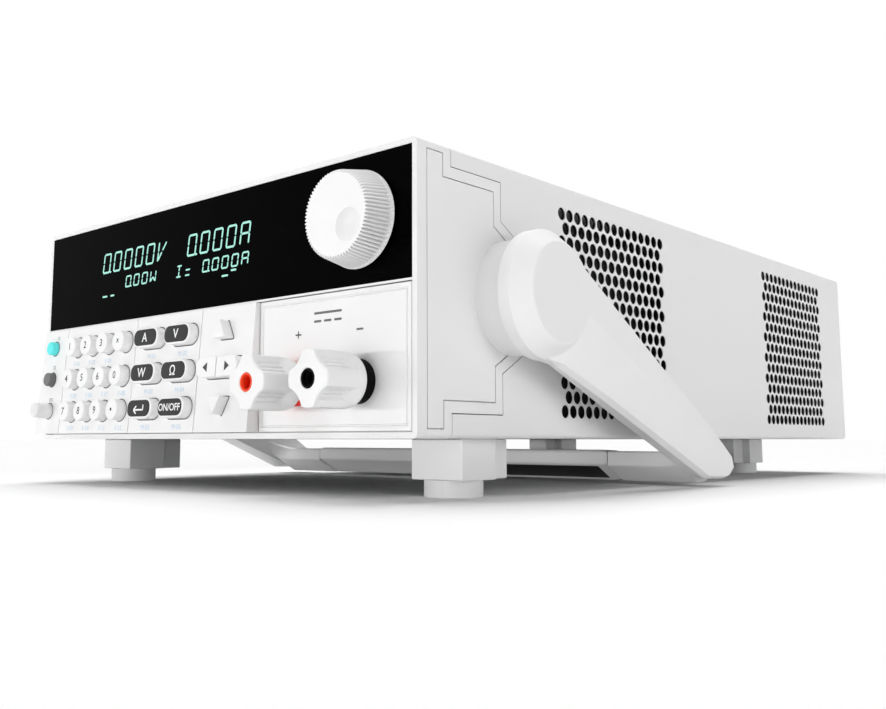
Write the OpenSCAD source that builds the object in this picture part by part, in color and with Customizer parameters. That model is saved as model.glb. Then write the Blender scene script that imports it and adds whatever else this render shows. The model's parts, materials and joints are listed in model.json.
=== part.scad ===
// Benchtop electronic load: half-rack case with a sloped keypad, binding posts and a swing bail.
// Working frame: x across, y back from the front plane, z up from the case underside, millimetres.

/* [Case] */
// Width of the case
case_w = 214.5; // [208:0.5:240]
// Height of the case without its feet
case_h = 88.2; // [87:0.1:100]
// Depth of the case from the front plane to the rear edge
case_d = 354.6; // [345:0.2:420]
// Radius of the long outer edges
edge_r = 1.8; // [0.6:0.1:2.4]
// Sheet thickness of the cover, the chassis and the rear panel
sheet_t = 1.2; // [0.8:0.1:1.6]
// Gap along the seams between shell pieces
seam_gap = 0.3; // [0.1:0.05:0.5]
// Width of the flange that the cover turns in under the case
flange_w = 4; // [3:0.5:5]
// Depth by which the rear panel is set in from the rear edge
rear_recess = 3; // [3:0.2:6]

/* [Front frame] */
// Depth of the frame behind the front plane
frame_depth = 15.3; // [14:0.1:20]
// Width of the rim around the front panels
rim_w = 1.85; // [1.5:0.05:2.5]
// Depth of the deck that the panels lie on
deck_y = 3; // [2.6:0.1:4]
// Thickness of the deck
deck_t = 2.5; // [1.5:0.1:3.5]
// Gap around each front panel
panel_gap = 0.35; // [0.15:0.05:0.6]
// Height of the bay that holds the keypad and the terminals
bay_h = 43.75; // [42:0.05:46]
// Thickness of the rib below the display window
rib_t = 0.7; // [0.5:0.1:1.5]

/* [Cheeks] */
// Thickness of the cheeks
cheek_t = 3.5; // [2.8:0.1:5]
// Height of the lower edge of the cheek's long step
cheek_z = 7.5; // [5:0.1:12]
// How far back the cheek's long step reaches
cheek_y = 40.3; // [36:0.1:44]
// Height at which the cheek's shoulder starts
shoulder_z = 20.3; // [17:0.1:24]
// Slope of the shoulder, degrees
shoulder_slope = 30; // [20:1:40]
// How far the cheek reaches past the hub axis
cheek_tip = 8.7; // [6:0.1:12]

/* [Bail hubs] */
// Distance of the hub axis behind the front plane
hub_y = 45.3; // [42:0.1:55]
// Height of the hub axis above the middle of the case
hub_rise = 0.55; // [-2:0.05:2]
// Radius of the fixed hub
hub_r = 18.6; // [16:0.1:22]
// How far the fixed hub stands out of the case
hub_h = 9.85; // [6:0.05:14]
// Thickness of the plate that carries the hub
plate_t = 1.6; // [1:0.1:2.4]
// How far the plate's outline lies inside the cheek's
plate_inset = 3.8; // [3:0.1:5]
// Distance of the plate's front edge behind the front plane
plate_front = 4.6; // [4:0.1:8]
// Distance of the plate from the top and the bottom of the case
plate_margin = 3; // [2:0.1:5]
// Radius of the pivot pin
pivot_r = 7; // [5:0.1:9]
// Length of the pivot pin
pivot_len = 6; // [4:0.1:7]
// Radial running clearance of the pivot pin
pivot_gap = 0.05; // [0.02:0.01:0.1]

/* [Bail] */
// Radius of the disc at the root of an arm
disc_r = 20.6; // [17:0.1:23]
// Radius of the disc's flat outer face
disc_face_r = 15.8; // [12:0.1:16.8]
// Width of the disc's straight rim
disc_rim = 4; // [2:0.1:6]
// Thickness of an arm
arm_t = 9.7; // [8:0.1:14]
// Gap between the fixed hub and the arm
bail_gap = 0.3; // [0.2:0.05:0.8]
// Distance from the hub axis to the inner edge of the crossbar
bail_reach = 107; // [95:0.5:125]
// Width of an arm at its free end
arm_end_w = 18; // [14:0.5:22]
// Distance of the free end's middle above the arm's axis
arm_lift = 1.2; // [0:0.1:3]
// How far an arm reaches past the inner edge of the crossbar
arm_over = 24; // [22:0.5:28]
// Length of the slanted underside of an arm's free end
arm_slant = 13.5; // [8:0.5:16]
// Chamfer at the tip of an arm
tip_chamfer = 3.2; // [1:0.1:5]
// How much the upper edge falls along an arm's free end
tip_drop = 1.3; // [0:0.1:3]
// Bevel along the edges of an arm
arm_bevel = 1.5; // [0.8:0.1:2.2]
// Width of the flat ridge along an arm
ridge_w = 4.3; // [2:0.1:6]
// Width of the crossbar along the arm
bar_w = 22; // [18:0.5:26]
// Thickness of the crossbar
bar_t = 10.6; // [9:0.1:12]
// Distance of the crossbar's middle above the arm's axis
bar_rise = 0.2; // [-1:0.1:1]
// Depth of the crossbar's ridge towards the hub
bar_nose = 2.5; // [1:0.1:4]
// Length of the slope at the crossbar's far edge
bar_slope = 6; // [4:0.1:8]
// Width of the crossbar's upper flat
bar_flat = 8; // [5:0.1:9]
// Length of the grip
grip_len = 170; // [140:1:190]
// How far the grip stands proud of the elbows
grip_proud = 0.5; // [0.2:0.1:1.5]
// Thickness of the grip's wall over its core
grip_wall = 2.6; // [1.8:0.1:3.4]
// Clearance between the grip and its core
grip_fit = 0.1; // [0.05:0.01:0.2]
// Radius of the fillet where an elbow meets its arm
elbow_r = 11; // [6:0.5:16]
// Distance of the grip's ridge below the case when the bail is at rest
bar_drop = 4.5; // [3:0.1:7]

/* [Feet] */
// Width of a foot block
foot_w = 20.8; // [16:0.1:24]
// Length of the wide part of a foot block
foot_l = 17.3; // [14:0.1:20]
// Width of a foot block's tail
tail_w = 12.8; // [8:0.1:15]
// Length of a foot block's tail
tail_l = 11.2; // [6:0.1:15]
// Height of a foot block
foot_h = 12.8; // [10:0.1:18]
// Radius of a foot pad
pad_r = 9.4; // [6:0.1:10]
// Height of a foot pad
pad_h = 5.3; // [3:0.1:8]
// Distance of the front feet from the case's sides
front_foot_inset = 15.55; // [15:0.05:30]
// Distance of the front feet behind the front plane
front_foot_y = 34.85; // [28:0.05:45]
// Distance of the rear feet from the case's sides
rear_foot_inset = 46.95; // [16:0.05:60]
// Distance of the rear feet from the rear edge
rear_foot_back = 33.25; // [20:0.05:60]

/* [Vents] */
// Diameter of a vent hole
vent_d = 4.5; // [3:0.1:4.6]
// Pitch of the vent holes along the case
vent_pitch = 5.09; // [4.9:0.01:5.4]
// Pitch of the rows of vent holes
vent_row = 4.907; // [4.7:0.001:5.1]
// Number of holes in a long row
vent_n = 15; // [9:1:15]
// Distance of the vent holes from the top and the bottom of the case
vent_z = 9.2; // [7:0.1:12]
// Distance of the front vent field behind the front plane
vent_front = 75.9; // [72:0.1:90]
// Distance of the rear vent field's first column from the rear edge
vent_back = 104.2; // [85:0.1:120]

/* [Keypad] */
// How far the keypad's top edge stands out
wedge_top = 1.7; // [1:0.1:3]
// How far the keypad's bottom edge stands out
wedge_bottom = 4.8; // [3:0.1:7]
// Thickness of the keypad's face
face_t = 2; // [1.5:0.1:2.4]
// Thickness of the keypad's side walls
wall_t = 1.5; // [1:0.1:2]
// Travel of a key
key_travel = 1.5; // [0.8:0.1:1.8]
// Gap between a key and its hole
key_gap = 0.25; // [0.15:0.05:0.4]
// Thickness of a key's retaining lip
lip_t = 1; // [0.6:0.1:1.4]
// Width of a key's retaining lip
lip_w = 0.9; // [0.6:0.1:1.2]
// Clearance of a key's lip from the face at rest and from the membrane when pressed
lip_gap = 0.3; // [0.15:0.05:0.5]
// Thickness of the rubber membrane
membrane_t = 1.2; // [0.8:0.1:1.6]
// Thickness of the circuit boards
board_t = 1.6; // [1:0.1:2]
// Radius of the bosses that carry the keypad board
boss_r = 2.2; // [1.5:0.1:2.6]
// Height of the lowest row of keys above the keypad's bottom edge
row_v = 8.7; // [7:0.1:9]
// Distance of the highest row of keys below the keypad's top edge
row_top = 8.16; // [8:0.01:10]
// Height of the side buttons above the rows of keys
button_rise = 0.7; // [0:0.1:1.2]
// Diameter of a digit key
digit_d = 8; // [7:0.1:8.8]
// Height of a digit key
digit_h = 4.2; // [3:0.1:6]
// Distance of the first digit column from the button column
digit_x = 19.2; // [17.5:0.05:21]
// Pitch of the digit columns
digit_pitch = 12; // [11.5:0.05:12.3]
// Width of a function key
bar_key_w = 16; // [13:0.1:16.8]
// Depth of a function key
bar_key_d = 7.5; // [6:0.1:8.6]
// Height of a function key
bar_key_h = 4; // [3:0.1:6]
// Distance of the first function column from the last digit column
bar_key_x = 18.25; // [17:0.05:20]
// Gap between the two function columns
bar_key_gap = 3.7; // [2.4:0.05:5]
// Diameter of the shift and local buttons
button_d = 5.6; // [4.5:0.1:6.4]
// Height of the shift and local buttons
button_h = 2.8; // [2:0.1:5]
// Diameter of the power button
power_d = 6.2; // [5:0.1:7]
// Height of the power button
power_h = 6.9; // [4:0.1:9]
// Distance of the button column from the case's left side
button_x = 11.65; // [11:0.05:13.5]
// Distance of the arrow keys from the function keys
arrow_x = 5.75; // [4:0.05:7]
// Distance of the arrow keys from the keypad's right edge
arrow_margin = 2.7; // [2.6:0.05:4]
// Width of an arrow key
arrow_w = 7; // [6:0.1:8]
// Height of the triangle of an arrow key
arrow_l = 6.4; // [5:0.1:7]
// Width of the left and right key pair
pair_w = 22.8; // [18:0.1:23]
// Depth of the left and right key pair
pair_d = 7; // [6:0.1:8]
// Gap between the left key and the right key
pair_gap = 0.4; // [0.2:0.1:1]
// Height of the arrow keys
arrow_h = 4; // [3:0.1:6]
// Width of the grooves in the keypad and the terminal panel
groove_w = 0.5; // [0.3:0.05:0.8]
// Depth of the grooves in the keypad and the terminal panel
groove_d = 0.4; // [0.2:0.05:0.7]
// Distance of the groove left of the function keys
groove_left = 3.85; // [2:0.05:4]
// Distance of the groove right of the function keys
groove_right = 1.75; // [1.2:0.05:3]

/* [Terminals] */
// Distance of the border groove from the terminal panel's edge
border = 1.5; // [1:0.1:3]
// How far the terminals lie left of the middle of their bay
terminal_shift = 0.9; // [-2:0.05:4]
// Pitch of the two terminals
terminal_pitch = 27.8; // [22:0.1:30]
// Height of the terminals
terminal_z = 17.05; // [14:0.05:24]
// How far the terminal caps stand out of the front plane
cap_reach = 21; // [19:0.1:26]
// Radius of a cap's lobes
cap_r = 8.5; // [7.8:0.1:9.5]
// Radius of a cap between its lobes
cap_waist = 6.9; // [6.6:0.1:7.4]
// Radius of the scallops between the lobes
scallop_r = 6; // [4:0.1:9]
// Length of the round skirt behind the lobes
skirt_l = 3.2; // [2.4:0.1:5]
// Radius of a collar
collar_r = 6.8; // [5.5:0.1:7.6]
// Height of a collar
collar_h = 4; // [2:0.1:6]
// Gap between a collar and its cap
cap_gap = 0.5; // [0.3:0.1:1]
// Outer radius of a post
post_r = 3.6; // [3.2:0.05:4]
// Radius of the socket in a post
jack_r = 2; // [1.6:0.01:2.4]
// Length of a post behind the deck
post_back = 13; // [10:0.5:16]
// Radius of a terminal's nut across its corners
nut_r = 6.5; // [5.5:0.1:8]
// Thickness of a terminal's nut
nut_t = 3.2; // [2:0.1:5]
// Depth of the socket behind the front plane
jack_deep = 2; // [0:0.1:8]
// Outer radius of a sleeve
sleeve_r = 2.9; // [2.6:0.05:3.1]
// Length of a sleeve
sleeve_l = 1.7; // [1:0.1:2.4]
// Radial gap between a plug in the socket and a sleeve
sleeve_gap = 0.3; // [0.2:0.05:0.4]
// Outer radius of a thrust washer
washer_r = 5.4; // [4.6:0.1:5.8]
// Thickness of a thrust washer
washer_t = 0.8; // [0.5:0.1:1.2]
// Radial running clearance on a post
post_gap = 0.1; // [0.03:0.01:0.15]

/* [Knob] */
// Distance of the knob's axis from the case's right side
knob_x = 23.1; // [20:0.05:28]
// Radius of the knob at its base
knob_r = 15.3; // [12:0.1:17]
// Radius of the knob's front face
knob_face_r = 13.5; // [10:0.1:14.5]
// Length of the knob
knob_l = 9.9; // [8:0.1:14]
// Gap between the knob and the window
knob_stand = 1; // [0.5:0.1:2]
// Radius of the finger dimple
dimple_r = 5.2; // [3:0.1:6]
// Depth of the finger dimple
dimple_d = 1.3; // [0.5:0.1:1.6]
// Distance of the dimple's centre from the knob's axis
dimple_off = 7.1; // [5:0.1:7.5]
// Direction of the dimple below the horizontal, degrees
dimple_angle = 30; // [0:1:90]
// Radius of the encoder's shaft
shaft_r = 3; // [2:0.05:4]
// Thickness of the wall of the shaft's bushing
bushing_wall = 0.6; // [0.5:0.1:1.5]
// How far the shaft reaches into the knob
shaft_in = 7; // [5:0.1:7.5]
// Room in front of the shaft in the knob
shaft_room = 0.9; // [0.5:0.1:1]
// Radial running clearance of the shaft
shaft_gap = 0.05; // [0.02:0.01:0.1]
// Side of the encoder's body
encoder_w = 14; // [11:0.5:18]
// Depth of the encoder's body
encoder_l = 7; // [5:0.5:12]

/* [Inside] */
// Distance of the display glass from the case's left side
glass_x = 19; // [14:0.5:24]
// Distance of the display glass from the case's right side
glass_right = 55.5; // [50:0.5:80]
// Distance of the display glass from the top and the bottom of the window
glass_edge = 7; // [6.5:0.1:10]
// Margin of the display board around its glass
display_margin = 6; // [4:0.1:6.5]
// Gap between the main board and the heatsink
board_gap = 20.5; // [10:0.5:40]
// Length of the main board
main_board_l = 170; // [120:1:185]
// Height of the main board's standoffs
standoff_h = 8; // [5:0.5:12]
// Radius of the main board's standoffs
standoff_r = 3; // [2:0.1:4]
// Distance of the standoffs from the main board's edges
standoff_inset = 7; // [4:0.5:12]
// Distance of the inner assemblies behind the front plane
inner_y = 66; // [62:1:72]
// Distance of the inner assemblies from the case's sides
side_room = 9; // [7:0.5:14]
// Width of the heatsink
sink_w = 76; // [60:1:80]
// Height of the heatsink
sink_h = 74; // [50:1:80]
// Gap between the heatsink and the fan
sink_gap = 29.4; // [10:0.2:60]
// Thickness of the heatsink's base
sink_base = 8; // [5:0.5:12]
// Number of heatsink fins
sink_fins = 9; // [6:1:11]
// Thickness of a heatsink fin
fin_t = 2.6; // [2:0.1:3.5]
// Width of the transformer's core
core_w = 66; // [50:1:72]
// Height of the transformer's core
core_h = 54; // [40:1:60]
// Thickness of the transformer's core
core_t = 30; // [20:1:36]
// Width of the transformer's winding
winding_w = 42; // [30:1:45]
// Length of the transformer's winding
winding_l = 48; // [40:1:54]

/* [Rear] */
// Room above the fan
fan_room = 5.8; // [2:0.1:20]
// Depth of the fan frame
fan_d = 25; // [20:1:30]
// Distance of the fan's axis from the case's right side
fan_x = 57; // [52:0.5:62]
// Thinnest wall between the fan's duct and its side
fan_wall = 1.6; // [1:0.1:3]
// Thickness of the fan's struts and of its motor plate
fan_strut = 3; // [2:0.1:4]
// Gap between the motor plate and the rotor
rotor_gap = 3.5; // [1:0.1:4]
// Depth of the rotor
rotor_l = 15; // [10:0.5:17]
// Radius of the rotor's hub
rotor_hub_r = 16; // [12:0.5:20]
// Gap between the blades and the duct
blade_gap = 1; // [0.6:0.1:2]
// Number of blades
blades = 7; // [5:1:9]
// Thickness of a blade
blade_t = 1.4; // [1:0.1:2]
// Pitch angle of a blade, degrees
blade_pitch = 38; // [30:1:45]
// Radius of the fan's spindle
spindle_r = 2; // [1.5:0.1:3]
// Length of the fan's spindle
spindle_l = 17.5; // [12:0.5:19]
// Diameter of a fan grille hole
grille_d = 4.6; // [3:0.1:5]
// Pitch of the fan grille holes
grille_pitch = 6; // [5.8:0.1:8]
// Distance of the mains inlet from the case's left side
inlet_x = 48; // [40:0.5:60]
// Height of the mains inlet
inlet_z = 34; // [25:0.5:60]
// Width of the inlet's cavity
inlet_w = 24.5; // [22:0.5:27]
// Height of the inlet's cavity
inlet_h = 17; // [15:0.5:19]
// Depth of the inlet's cavity
inlet_deep = 16; // [14:0.5:20]
// Thickness of the inlet's walls
inlet_wall = 1.6; // [1.2:0.1:2.4]
// Thickness of the inlet's flange
inlet_flange = 1.2; // [1:0.1:1.4]
// Distance between neighbouring pins of the inlet
pin_pitch = 7; // [6:0.1:8]
// Height of the middle pin above the inlet's middle, and of the others below it
pin_rise = 2; // [1:0.1:3]
// Width of a pin
pin_w = 2; // [1.5:0.1:2.5]
// Height of a pin
pin_h = 4; // [3:0.1:5]
// Length of a pin in the cavity
pin_l = 8; // [5:0.1:12]
// Distance between the inlet's two screws
inlet_screws = 40; // [36:0.5:46]
// Radius of a screw head
screw_head_r = 2.8; // [2.2:0.1:3.4]
// Height of a screw head
screw_head_h = 1.5; // [1:0.1:1.6]
// Radius of a screw's shank
screw_r = 1.4; // [1:0.1:1.8]
// Length of a screw's shank
screw_l = 6; // [4:0.5:8]
// Radial clearance of a screw in its hole
screw_gap = 0.12; // [0.05:0.01:0.3]
// Width of the tabs that take the rear panel's screws
tab_w = 8; // [7:0.5:10]

/* [Hidden] */
$fn = 64;
// Overshoot of cutting tools past the faces that they cut
over = 1;
half_w = case_w / 2;
hub_z = case_h / 2 + hub_rise;
ground = foot_h + pad_h;
mid_y = (case_d - cap_reach) / 2;
// Front bays
inner_x = half_w - rim_w;
bay_top = rim_w + bay_h;
window_z0 = bay_top + rib_t;
window_h = case_h - rim_w - window_z0;
window_mid = window_z0 + window_h / 2;
keypad_x0 = -inner_x + panel_gap;
keypad_z0 = rim_w + panel_gap;
keypad_z1 = bay_top - panel_gap;
deck_back = deck_y + deck_t;
// Sloped keypad
wedge_tilt = atan((wedge_bottom - wedge_top) / (keypad_z1 - keypad_z0));
wedge_v = (keypad_z1 - keypad_z0) / cos(wedge_tilt);
lip_top = face_t + lip_gap;
membrane_top = lip_top + lip_t + key_travel + lip_gap;
board_top = membrane_top + membrane_t;
row_pitch = (wedge_v - row_v - row_top) / 2;
button_x0 = button_x - half_w;
digit_x0 = button_x0 + digit_x;
bar_key_x0 = digit_x0 + 3 * digit_pitch + bar_key_x;
bar_key_pitch = bar_key_w + bar_key_gap;
bar_left = bar_key_x0 - bar_key_w / 2;
bar_right = bar_left + bar_key_pitch + bar_key_w;
arrow_x0 = bar_right + arrow_x + pair_w / 2;
keypad_x1 = arrow_x0 + pair_w / 2 + arrow_margin;
groove_x = [(button_x0 + digit_x0) / 2, bar_left - groove_left, bar_right + groove_right];
// Terminals
terminal_x0 = keypad_x1 + panel_gap / 2;
terminal_mid = (terminal_x0 + inner_x) / 2 - terminal_shift;
cap_back = collar_h + cap_gap;
post_tip = cap_reach - sleeve_l - post_gap;
// Display and knob
glass_x0 = glass_x - half_w;
glass_x1 = half_w - glass_right;
glass_h = window_h - 2 * glass_edge;
glass_z0 = window_z0 + glass_edge;
knob_mid = half_w - knob_x;
bushing_r = shaft_r + bushing_wall;
// Bail
hub_face = half_w + hub_h;
bail_x0 = hub_face + bail_gap;
// Distance of the grip's ridge along an arm, and the arm's angle that brings the ridge under the case
grip_p = bail_reach - grip_proud;
bail_angle = asin((hub_z + bar_drop) / norm([grip_p, bar_rise])) + atan2(bar_rise, grip_p);
// Inside and rear
rear_y = case_d - rear_recess;
chassis_w = case_w - 2 * (flange_w + seam_gap);
chassis_y = frame_depth + seam_gap;
screw_x = chassis_w / 2 - tab_w / 2;
tab_h = 3 * tab_w / 2;
low_screw_z = sheet_t + 2 * tab_h / 3;
top_screw_z = case_h - low_screw_z;
screw_hole_r = screw_r + screw_gap;
vent_rows = floor((case_h - 2 * vent_z) / vent_row) + 1;
fan_w = case_h - 2 * sheet_t - fan_room;
fan_mid = half_w - fan_x;
fan_y = rear_y - sheet_t - fan_d;
fan_z = sheet_t + fan_w / 2;
duct_r = fan_w / 2 - fan_wall;
inlet_mid = inlet_x - half_w;
board_x0 = side_room - half_w;
sink_x0 = half_w - side_room - sink_w;
sink_l = fan_y - sink_gap - inner_y;
main_board_w = sink_x0 - board_gap - board_x0;

DIGITS = [
  ["key_1", 0, 2], ["key_2", 1, 2], ["key_3", 2, 2], ["key_esc", 3, 2],
  ["key_4", 0, 1], ["key_5", 1, 1], ["key_6", 2, 1], ["key_0", 3, 1],
  ["key_7", 0, 0], ["key_8", 1, 0], ["key_9", 2, 0], ["key_dot", 3, 0]
];
BARS = [
  ["key_amp", 0, 2], ["key_volt", 1, 2],
  ["key_watt", 0, 1], ["key_ohm", 1, 1],
  ["key_enter", 0, 0], ["key_on_off", 1, 0]
];
BUTTONS = [
  ["shift_button", 2, button_d, button_h, "turquoise"],
  ["local_button", 1, button_d, button_h, "dimgray"],
  ["power_button", 0, power_d, power_h, "lightgray"]
];
TERMINALS = [["red", -1, "orangered"], ["black", 1, "black"]];

function first(rows) = [for (row = rows) row[0]];

// Moves the working frame so that the origin is under the middle of the whole object, on the ground
module placed() translate([0, -mid_y, ground]) children();

// Extrudes an x-z outline backwards from y0
module along_y(y0, l) translate([0, y0 + l, 0]) rotate([90, 0, 0]) linear_extrude(l) children();

// Extrudes a y-z outline to the right from x0
module along_x(x0, l) translate([x0, 0, 0]) rotate([90, 0, 90]) linear_extrude(l) children();

// Cylinder along y from y0, around the point x, z
module rod_y(x, z, y0, l, r, r2 = -1)
  translate([x, y0 + l, z]) rotate([90, 0, 0]) cylinder(h = l, r1 = r2 < 0 ? r : r2, r2 = r);

// Rectangle between two corners
module span(a, b) translate(a) square([b[0] - a[0], b[1] - a[1]]);

// Rectangle with round corners, in the middle of the x axis and up from zero
module case_outline(inset = 0) {
  r = max(edge_r - inset, 0.2);
  for (z = [inset + r, case_h - inset - r], s = [-1, 1]) translate([s * (half_w - inset - r), z]) circle(r);
  span([-half_w + inset + r, inset], [half_w - inset - r, case_h - inset]);
  span([-half_w + inset, inset + r], [half_w - inset, case_h - inset - r]);
}

// Half of the cheek's side outline, grown by g; the other half is its mirror about the hub's height
function cheek_half(g) = [
  [frame_depth + g, -case_h],
  [frame_depth + g, cheek_z - g],
  [cheek_y + g, cheek_z - g],
  [cheek_y + g, shoulder_z - g * tan(shoulder_slope)],
  [hub_y + cheek_tip + g, shoulder_z + (hub_y + cheek_tip - cheek_y - g) * tan(shoulder_slope)]
];

// Side outline of a cheek from the plane y0 back, grown by g
module cheek_outline(y0, g = 0) {
  low = cheek_half(g);
  high = [for (i = [len(low) - 1:-1:0]) [low[i][0], 2 * hub_z - low[i][1]]];
  polygon(concat([[y0, -case_h]], low, high, [[y0, 2 * hub_z + case_h]]));
}

// Outline of the hub plate, grown by g
module plate_outline(g = 0) intersection() {
  cheek_outline(plate_front - g, g - plate_inset);
  span([0, plate_margin - g], [case_d, case_h - plate_margin + g]);
}

// Frame with deck, rib and two cheeks
module front_frame() color("whitesmoke") placed() difference() {
  union() {
    along_y(0, frame_depth) difference() {
      case_outline();
      case_outline(rim_w);
    }
    along_y(deck_y, deck_t) case_outline(rim_w / 2);
    along_y(0, deck_y + deck_t / 2)
      span([-half_w + rim_w / 2, bay_top], [half_w - rim_w / 2, window_z0]);
    for (x = [-half_w, half_w - cheek_t]) along_x(x, cheek_t) intersection() {
      cheek_outline(deck_y);
      span([0, edge_r], [case_d, case_h - edge_r]);
    }
  }
  for (x = [-half_w - over, half_w - plate_t]) along_x(x, plate_t + over) plate_outline(panel_gap);
  along_y(deck_y - over, deck_t + 2 * over) {
    span([glass_x0 - panel_gap, glass_z0 - panel_gap],
      [glass_x1 + panel_gap, glass_z0 + glass_h + panel_gap]);
    span([keypad_x0 + wall_t / 2, keypad_z0 + wall_t / 2], [keypad_x1 - wall_t / 2, keypad_z1 - wall_t / 2]);
  }
  for (t = TERMINALS) rod_y(post_x(t), terminal_z, 0, deck_back + over, post_r + post_gap);
  rod_y(knob_mid, window_mid, 0, deck_back + over, bushing_r + panel_gap);
}
function post_x(t) = terminal_mid + t[1] * terminal_pitch / 2;

// Two flush plates, each with the fixed hub and the pin that the bail turns on
module hub_plates() color("gainsboro") placed() for (m = [0, 1]) mirror([m, 0, 0]) {
  along_x(half_w - plate_t, plate_t) plate_outline();
  translate([half_w, hub_y, hub_z]) rotate([0, 90, 0]) cylinder(h = hub_h, r = hub_r);
  translate([hub_face - over, hub_y, hub_z]) rotate([0, 90, 0])
    cylinder(h = pivot_len + bail_gap + over, r = pivot_r);
}

// Staggered field of vent holes from the column y0, as y-z circles
module vent_field(y0) for (row = [0:vent_rows - 1], i = [0:vent_n - 1 - row % 2])
  translate([y0 + (i + (row % 2) / 2) * vent_pitch, vent_z + row * vent_row]) circle(d = vent_d, $fn = 24);

// Sheet metal sleeve: top, two perforated sides, bottom flanges and two screw tabs under its rear top edge
module case_cover() color("whitesmoke") placed() {
  difference() {
    along_y(chassis_y, case_d - chassis_y) difference() {
      case_outline();
      case_outline(sheet_t);
      span([-half_w + flange_w, -over], [half_w - flange_w, sheet_t + over]);
    }
    along_x(-half_w - over, case_w + 2 * over) {
      cheek_outline(0, seam_gap);
      vent_field(vent_front);
      vent_field(case_d - vent_back);
    }
  }
  for (s = [-1, 1]) difference() {
    along_y(rear_y - 2 * sheet_t, sheet_t)
      span([s * screw_x - tab_w / 2, case_h - sheet_t - tab_h],
        [s * screw_x + tab_w / 2, case_h - sheet_t / 2]);
    rod_y(s * screw_x, top_screw_z, rear_y - 3 * sheet_t, 3 * sheet_t, screw_hole_r);
  }
}

// Base plate with standoffs for the main board and two tabs for the rear panel
module bottom_chassis() color("silver") placed() {
  translate([-chassis_w / 2, chassis_y, 0]) cube([chassis_w, rear_y - sheet_t - chassis_y, sheet_t]);
  for (x = [standoff_inset, main_board_w - standoff_inset])
    for (y = [standoff_inset, main_board_l - standoff_inset])
      translate([board_x0 + x, inner_y + y, sheet_t / 2])
        cylinder(h = standoff_h + sheet_t / 2, r = standoff_r);
  for (s = [-1, 1]) difference() {
    along_y(rear_y - 2 * sheet_t, sheet_t)
      span([s * screw_x - tab_w / 2, 0], [s * screw_x + tab_w / 2, tab_h + sheet_t]);
    rod_y(s * screw_x, low_screw_z, rear_y - 3 * sheet_t, 3 * sheet_t, screw_hole_r);
  }
}

// Rear plate with the fan grille, the inlet's cutout and the screw holes
module rear_panel() color("gainsboro") placed() along_y(rear_y - sheet_t, sheet_t) difference() {
  edge = sheet_t + seam_gap;
  reach = duct_r - grille_d;
  n = floor(reach / grille_pitch) + 1;
  span([-half_w + edge, edge], [half_w - edge, case_h - edge]);
  for (i = [-n:n], j = [-n:n]) {
    p = [(i + abs(j % 2) / 2) * grille_pitch, j * grille_pitch * sin(60)];
    if (norm(p) < reach) translate([fan_mid, fan_z] + p) circle(d = grille_d, $fn = 24);
  }
  span(inlet_corner(-1, panel_gap), inlet_corner(1, panel_gap));
  for (s = [-1, 1]) {
    translate([inlet_mid + s * inlet_screws / 2, inlet_z]) circle(screw_hole_r);
    for (z = [low_screw_z, top_screw_z]) translate([s * screw_x, z]) circle(screw_hole_r);
  }
}
// Corner of the inlet's body, grown by g
function inlet_corner(s, g = 0) =
  [inlet_mid + s * (inlet_w / 2 + inlet_wall + g), inlet_z + s * (inlet_h / 2 + inlet_wall + g)];

// Black window over the display, with the hole for the encoder's bushing
module display_window() color("black") placed() difference() {
  gap = panel_gap / 2;
  along_y(0, deck_y) span([-inner_x + gap, window_z0 + gap], [inner_x - gap, case_h - rim_w - gap]);
  rod_y(knob_mid, window_mid, -over, deck_y + 2 * over, bushing_r + panel_gap);
}

// Frame on the keypad's face: x across, y up along the face, z out of it
module on_keypad() translate([0, -wedge_bottom, keypad_z0]) rotate([90 - wedge_tilt, 0, 0]) children();

// Rounded bar with full round ends
module stadium(w, d) {
  square([w - d, d], center = true);
  for (s = [-1, 1]) translate([s * (w - d) / 2, 0]) circle(d / 2);
}

// Triangle of an arrow key, grown by g on every side; s is 1 for up and -1 for down
module arrow_outline(s, g = 0) {
  side = norm([arrow_l, arrow_w / 2]);
  tip = g * side / (arrow_w / 2);
  foot = g * (side + arrow_w / 2) / arrow_l;
  polygon([[0, s * (arrow_l / 2 + tip)], [-arrow_w / 2 - foot, -s * (arrow_l / 2 + g)],
    [arrow_w / 2 + foot, -s * (arrow_l / 2 + g)]]);
}

// One half of the left and right pair, grown by g; s is -1 for left and 1 for right
module pair_outline(s, g = 0) intersection() {
  stadium(pair_w + 2 * g, pair_d + 2 * g);
  translate([s > 0 ? pair_gap / 2 : -pair_w, -pair_w / 2]) square([pair_w - pair_gap / 2, pair_w]);
}

// Key from its two outlines: the first child is the cap, the second the lip behind the face
module key_body(u, v, h) on_keypad() translate([u, v, 0]) {
  translate([0, 0, -lip_top]) linear_extrude(lip_top + h) children(0);
  translate([0, 0, -lip_top - lip_t]) linear_extrude(lip_t) children(1);
}

function row_at(row) = row_v + row * row_pitch;
function digit_u(key) = digit_x0 + key[1] * digit_pitch;
function bar_u(key) = bar_key_x0 + key[1] * bar_key_pitch;
function button_v(key) = row_at(key[1]) + button_rise;

module digit_key(key) color("white") placed() key_body(digit_u(key), row_at(key[2]), digit_h) {
  circle(digit_d / 2);
  circle(digit_d / 2 + lip_w);
}

module bar_key(key) color("dimgray") placed() key_body(bar_u(key), row_at(key[2]), bar_key_h) {
  stadium(bar_key_w, bar_key_d);
  stadium(bar_key_w + 2 * lip_w, bar_key_d + 2 * lip_w);
}

module side_button(key) color(key[4]) placed()
  key_body(button_x0, button_v(key), key[3]) {
  circle(key[2] / 2);
  circle(key[2] / 2 + lip_w);
}

module arrow_key(s) color("white") placed() key_body(arrow_x0, row_at(1 + s), arrow_h) {
  arrow_outline(s);
  arrow_outline(s, lip_w);
}
module key_up() arrow_key(1);
module key_down() arrow_key(-1);

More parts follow.
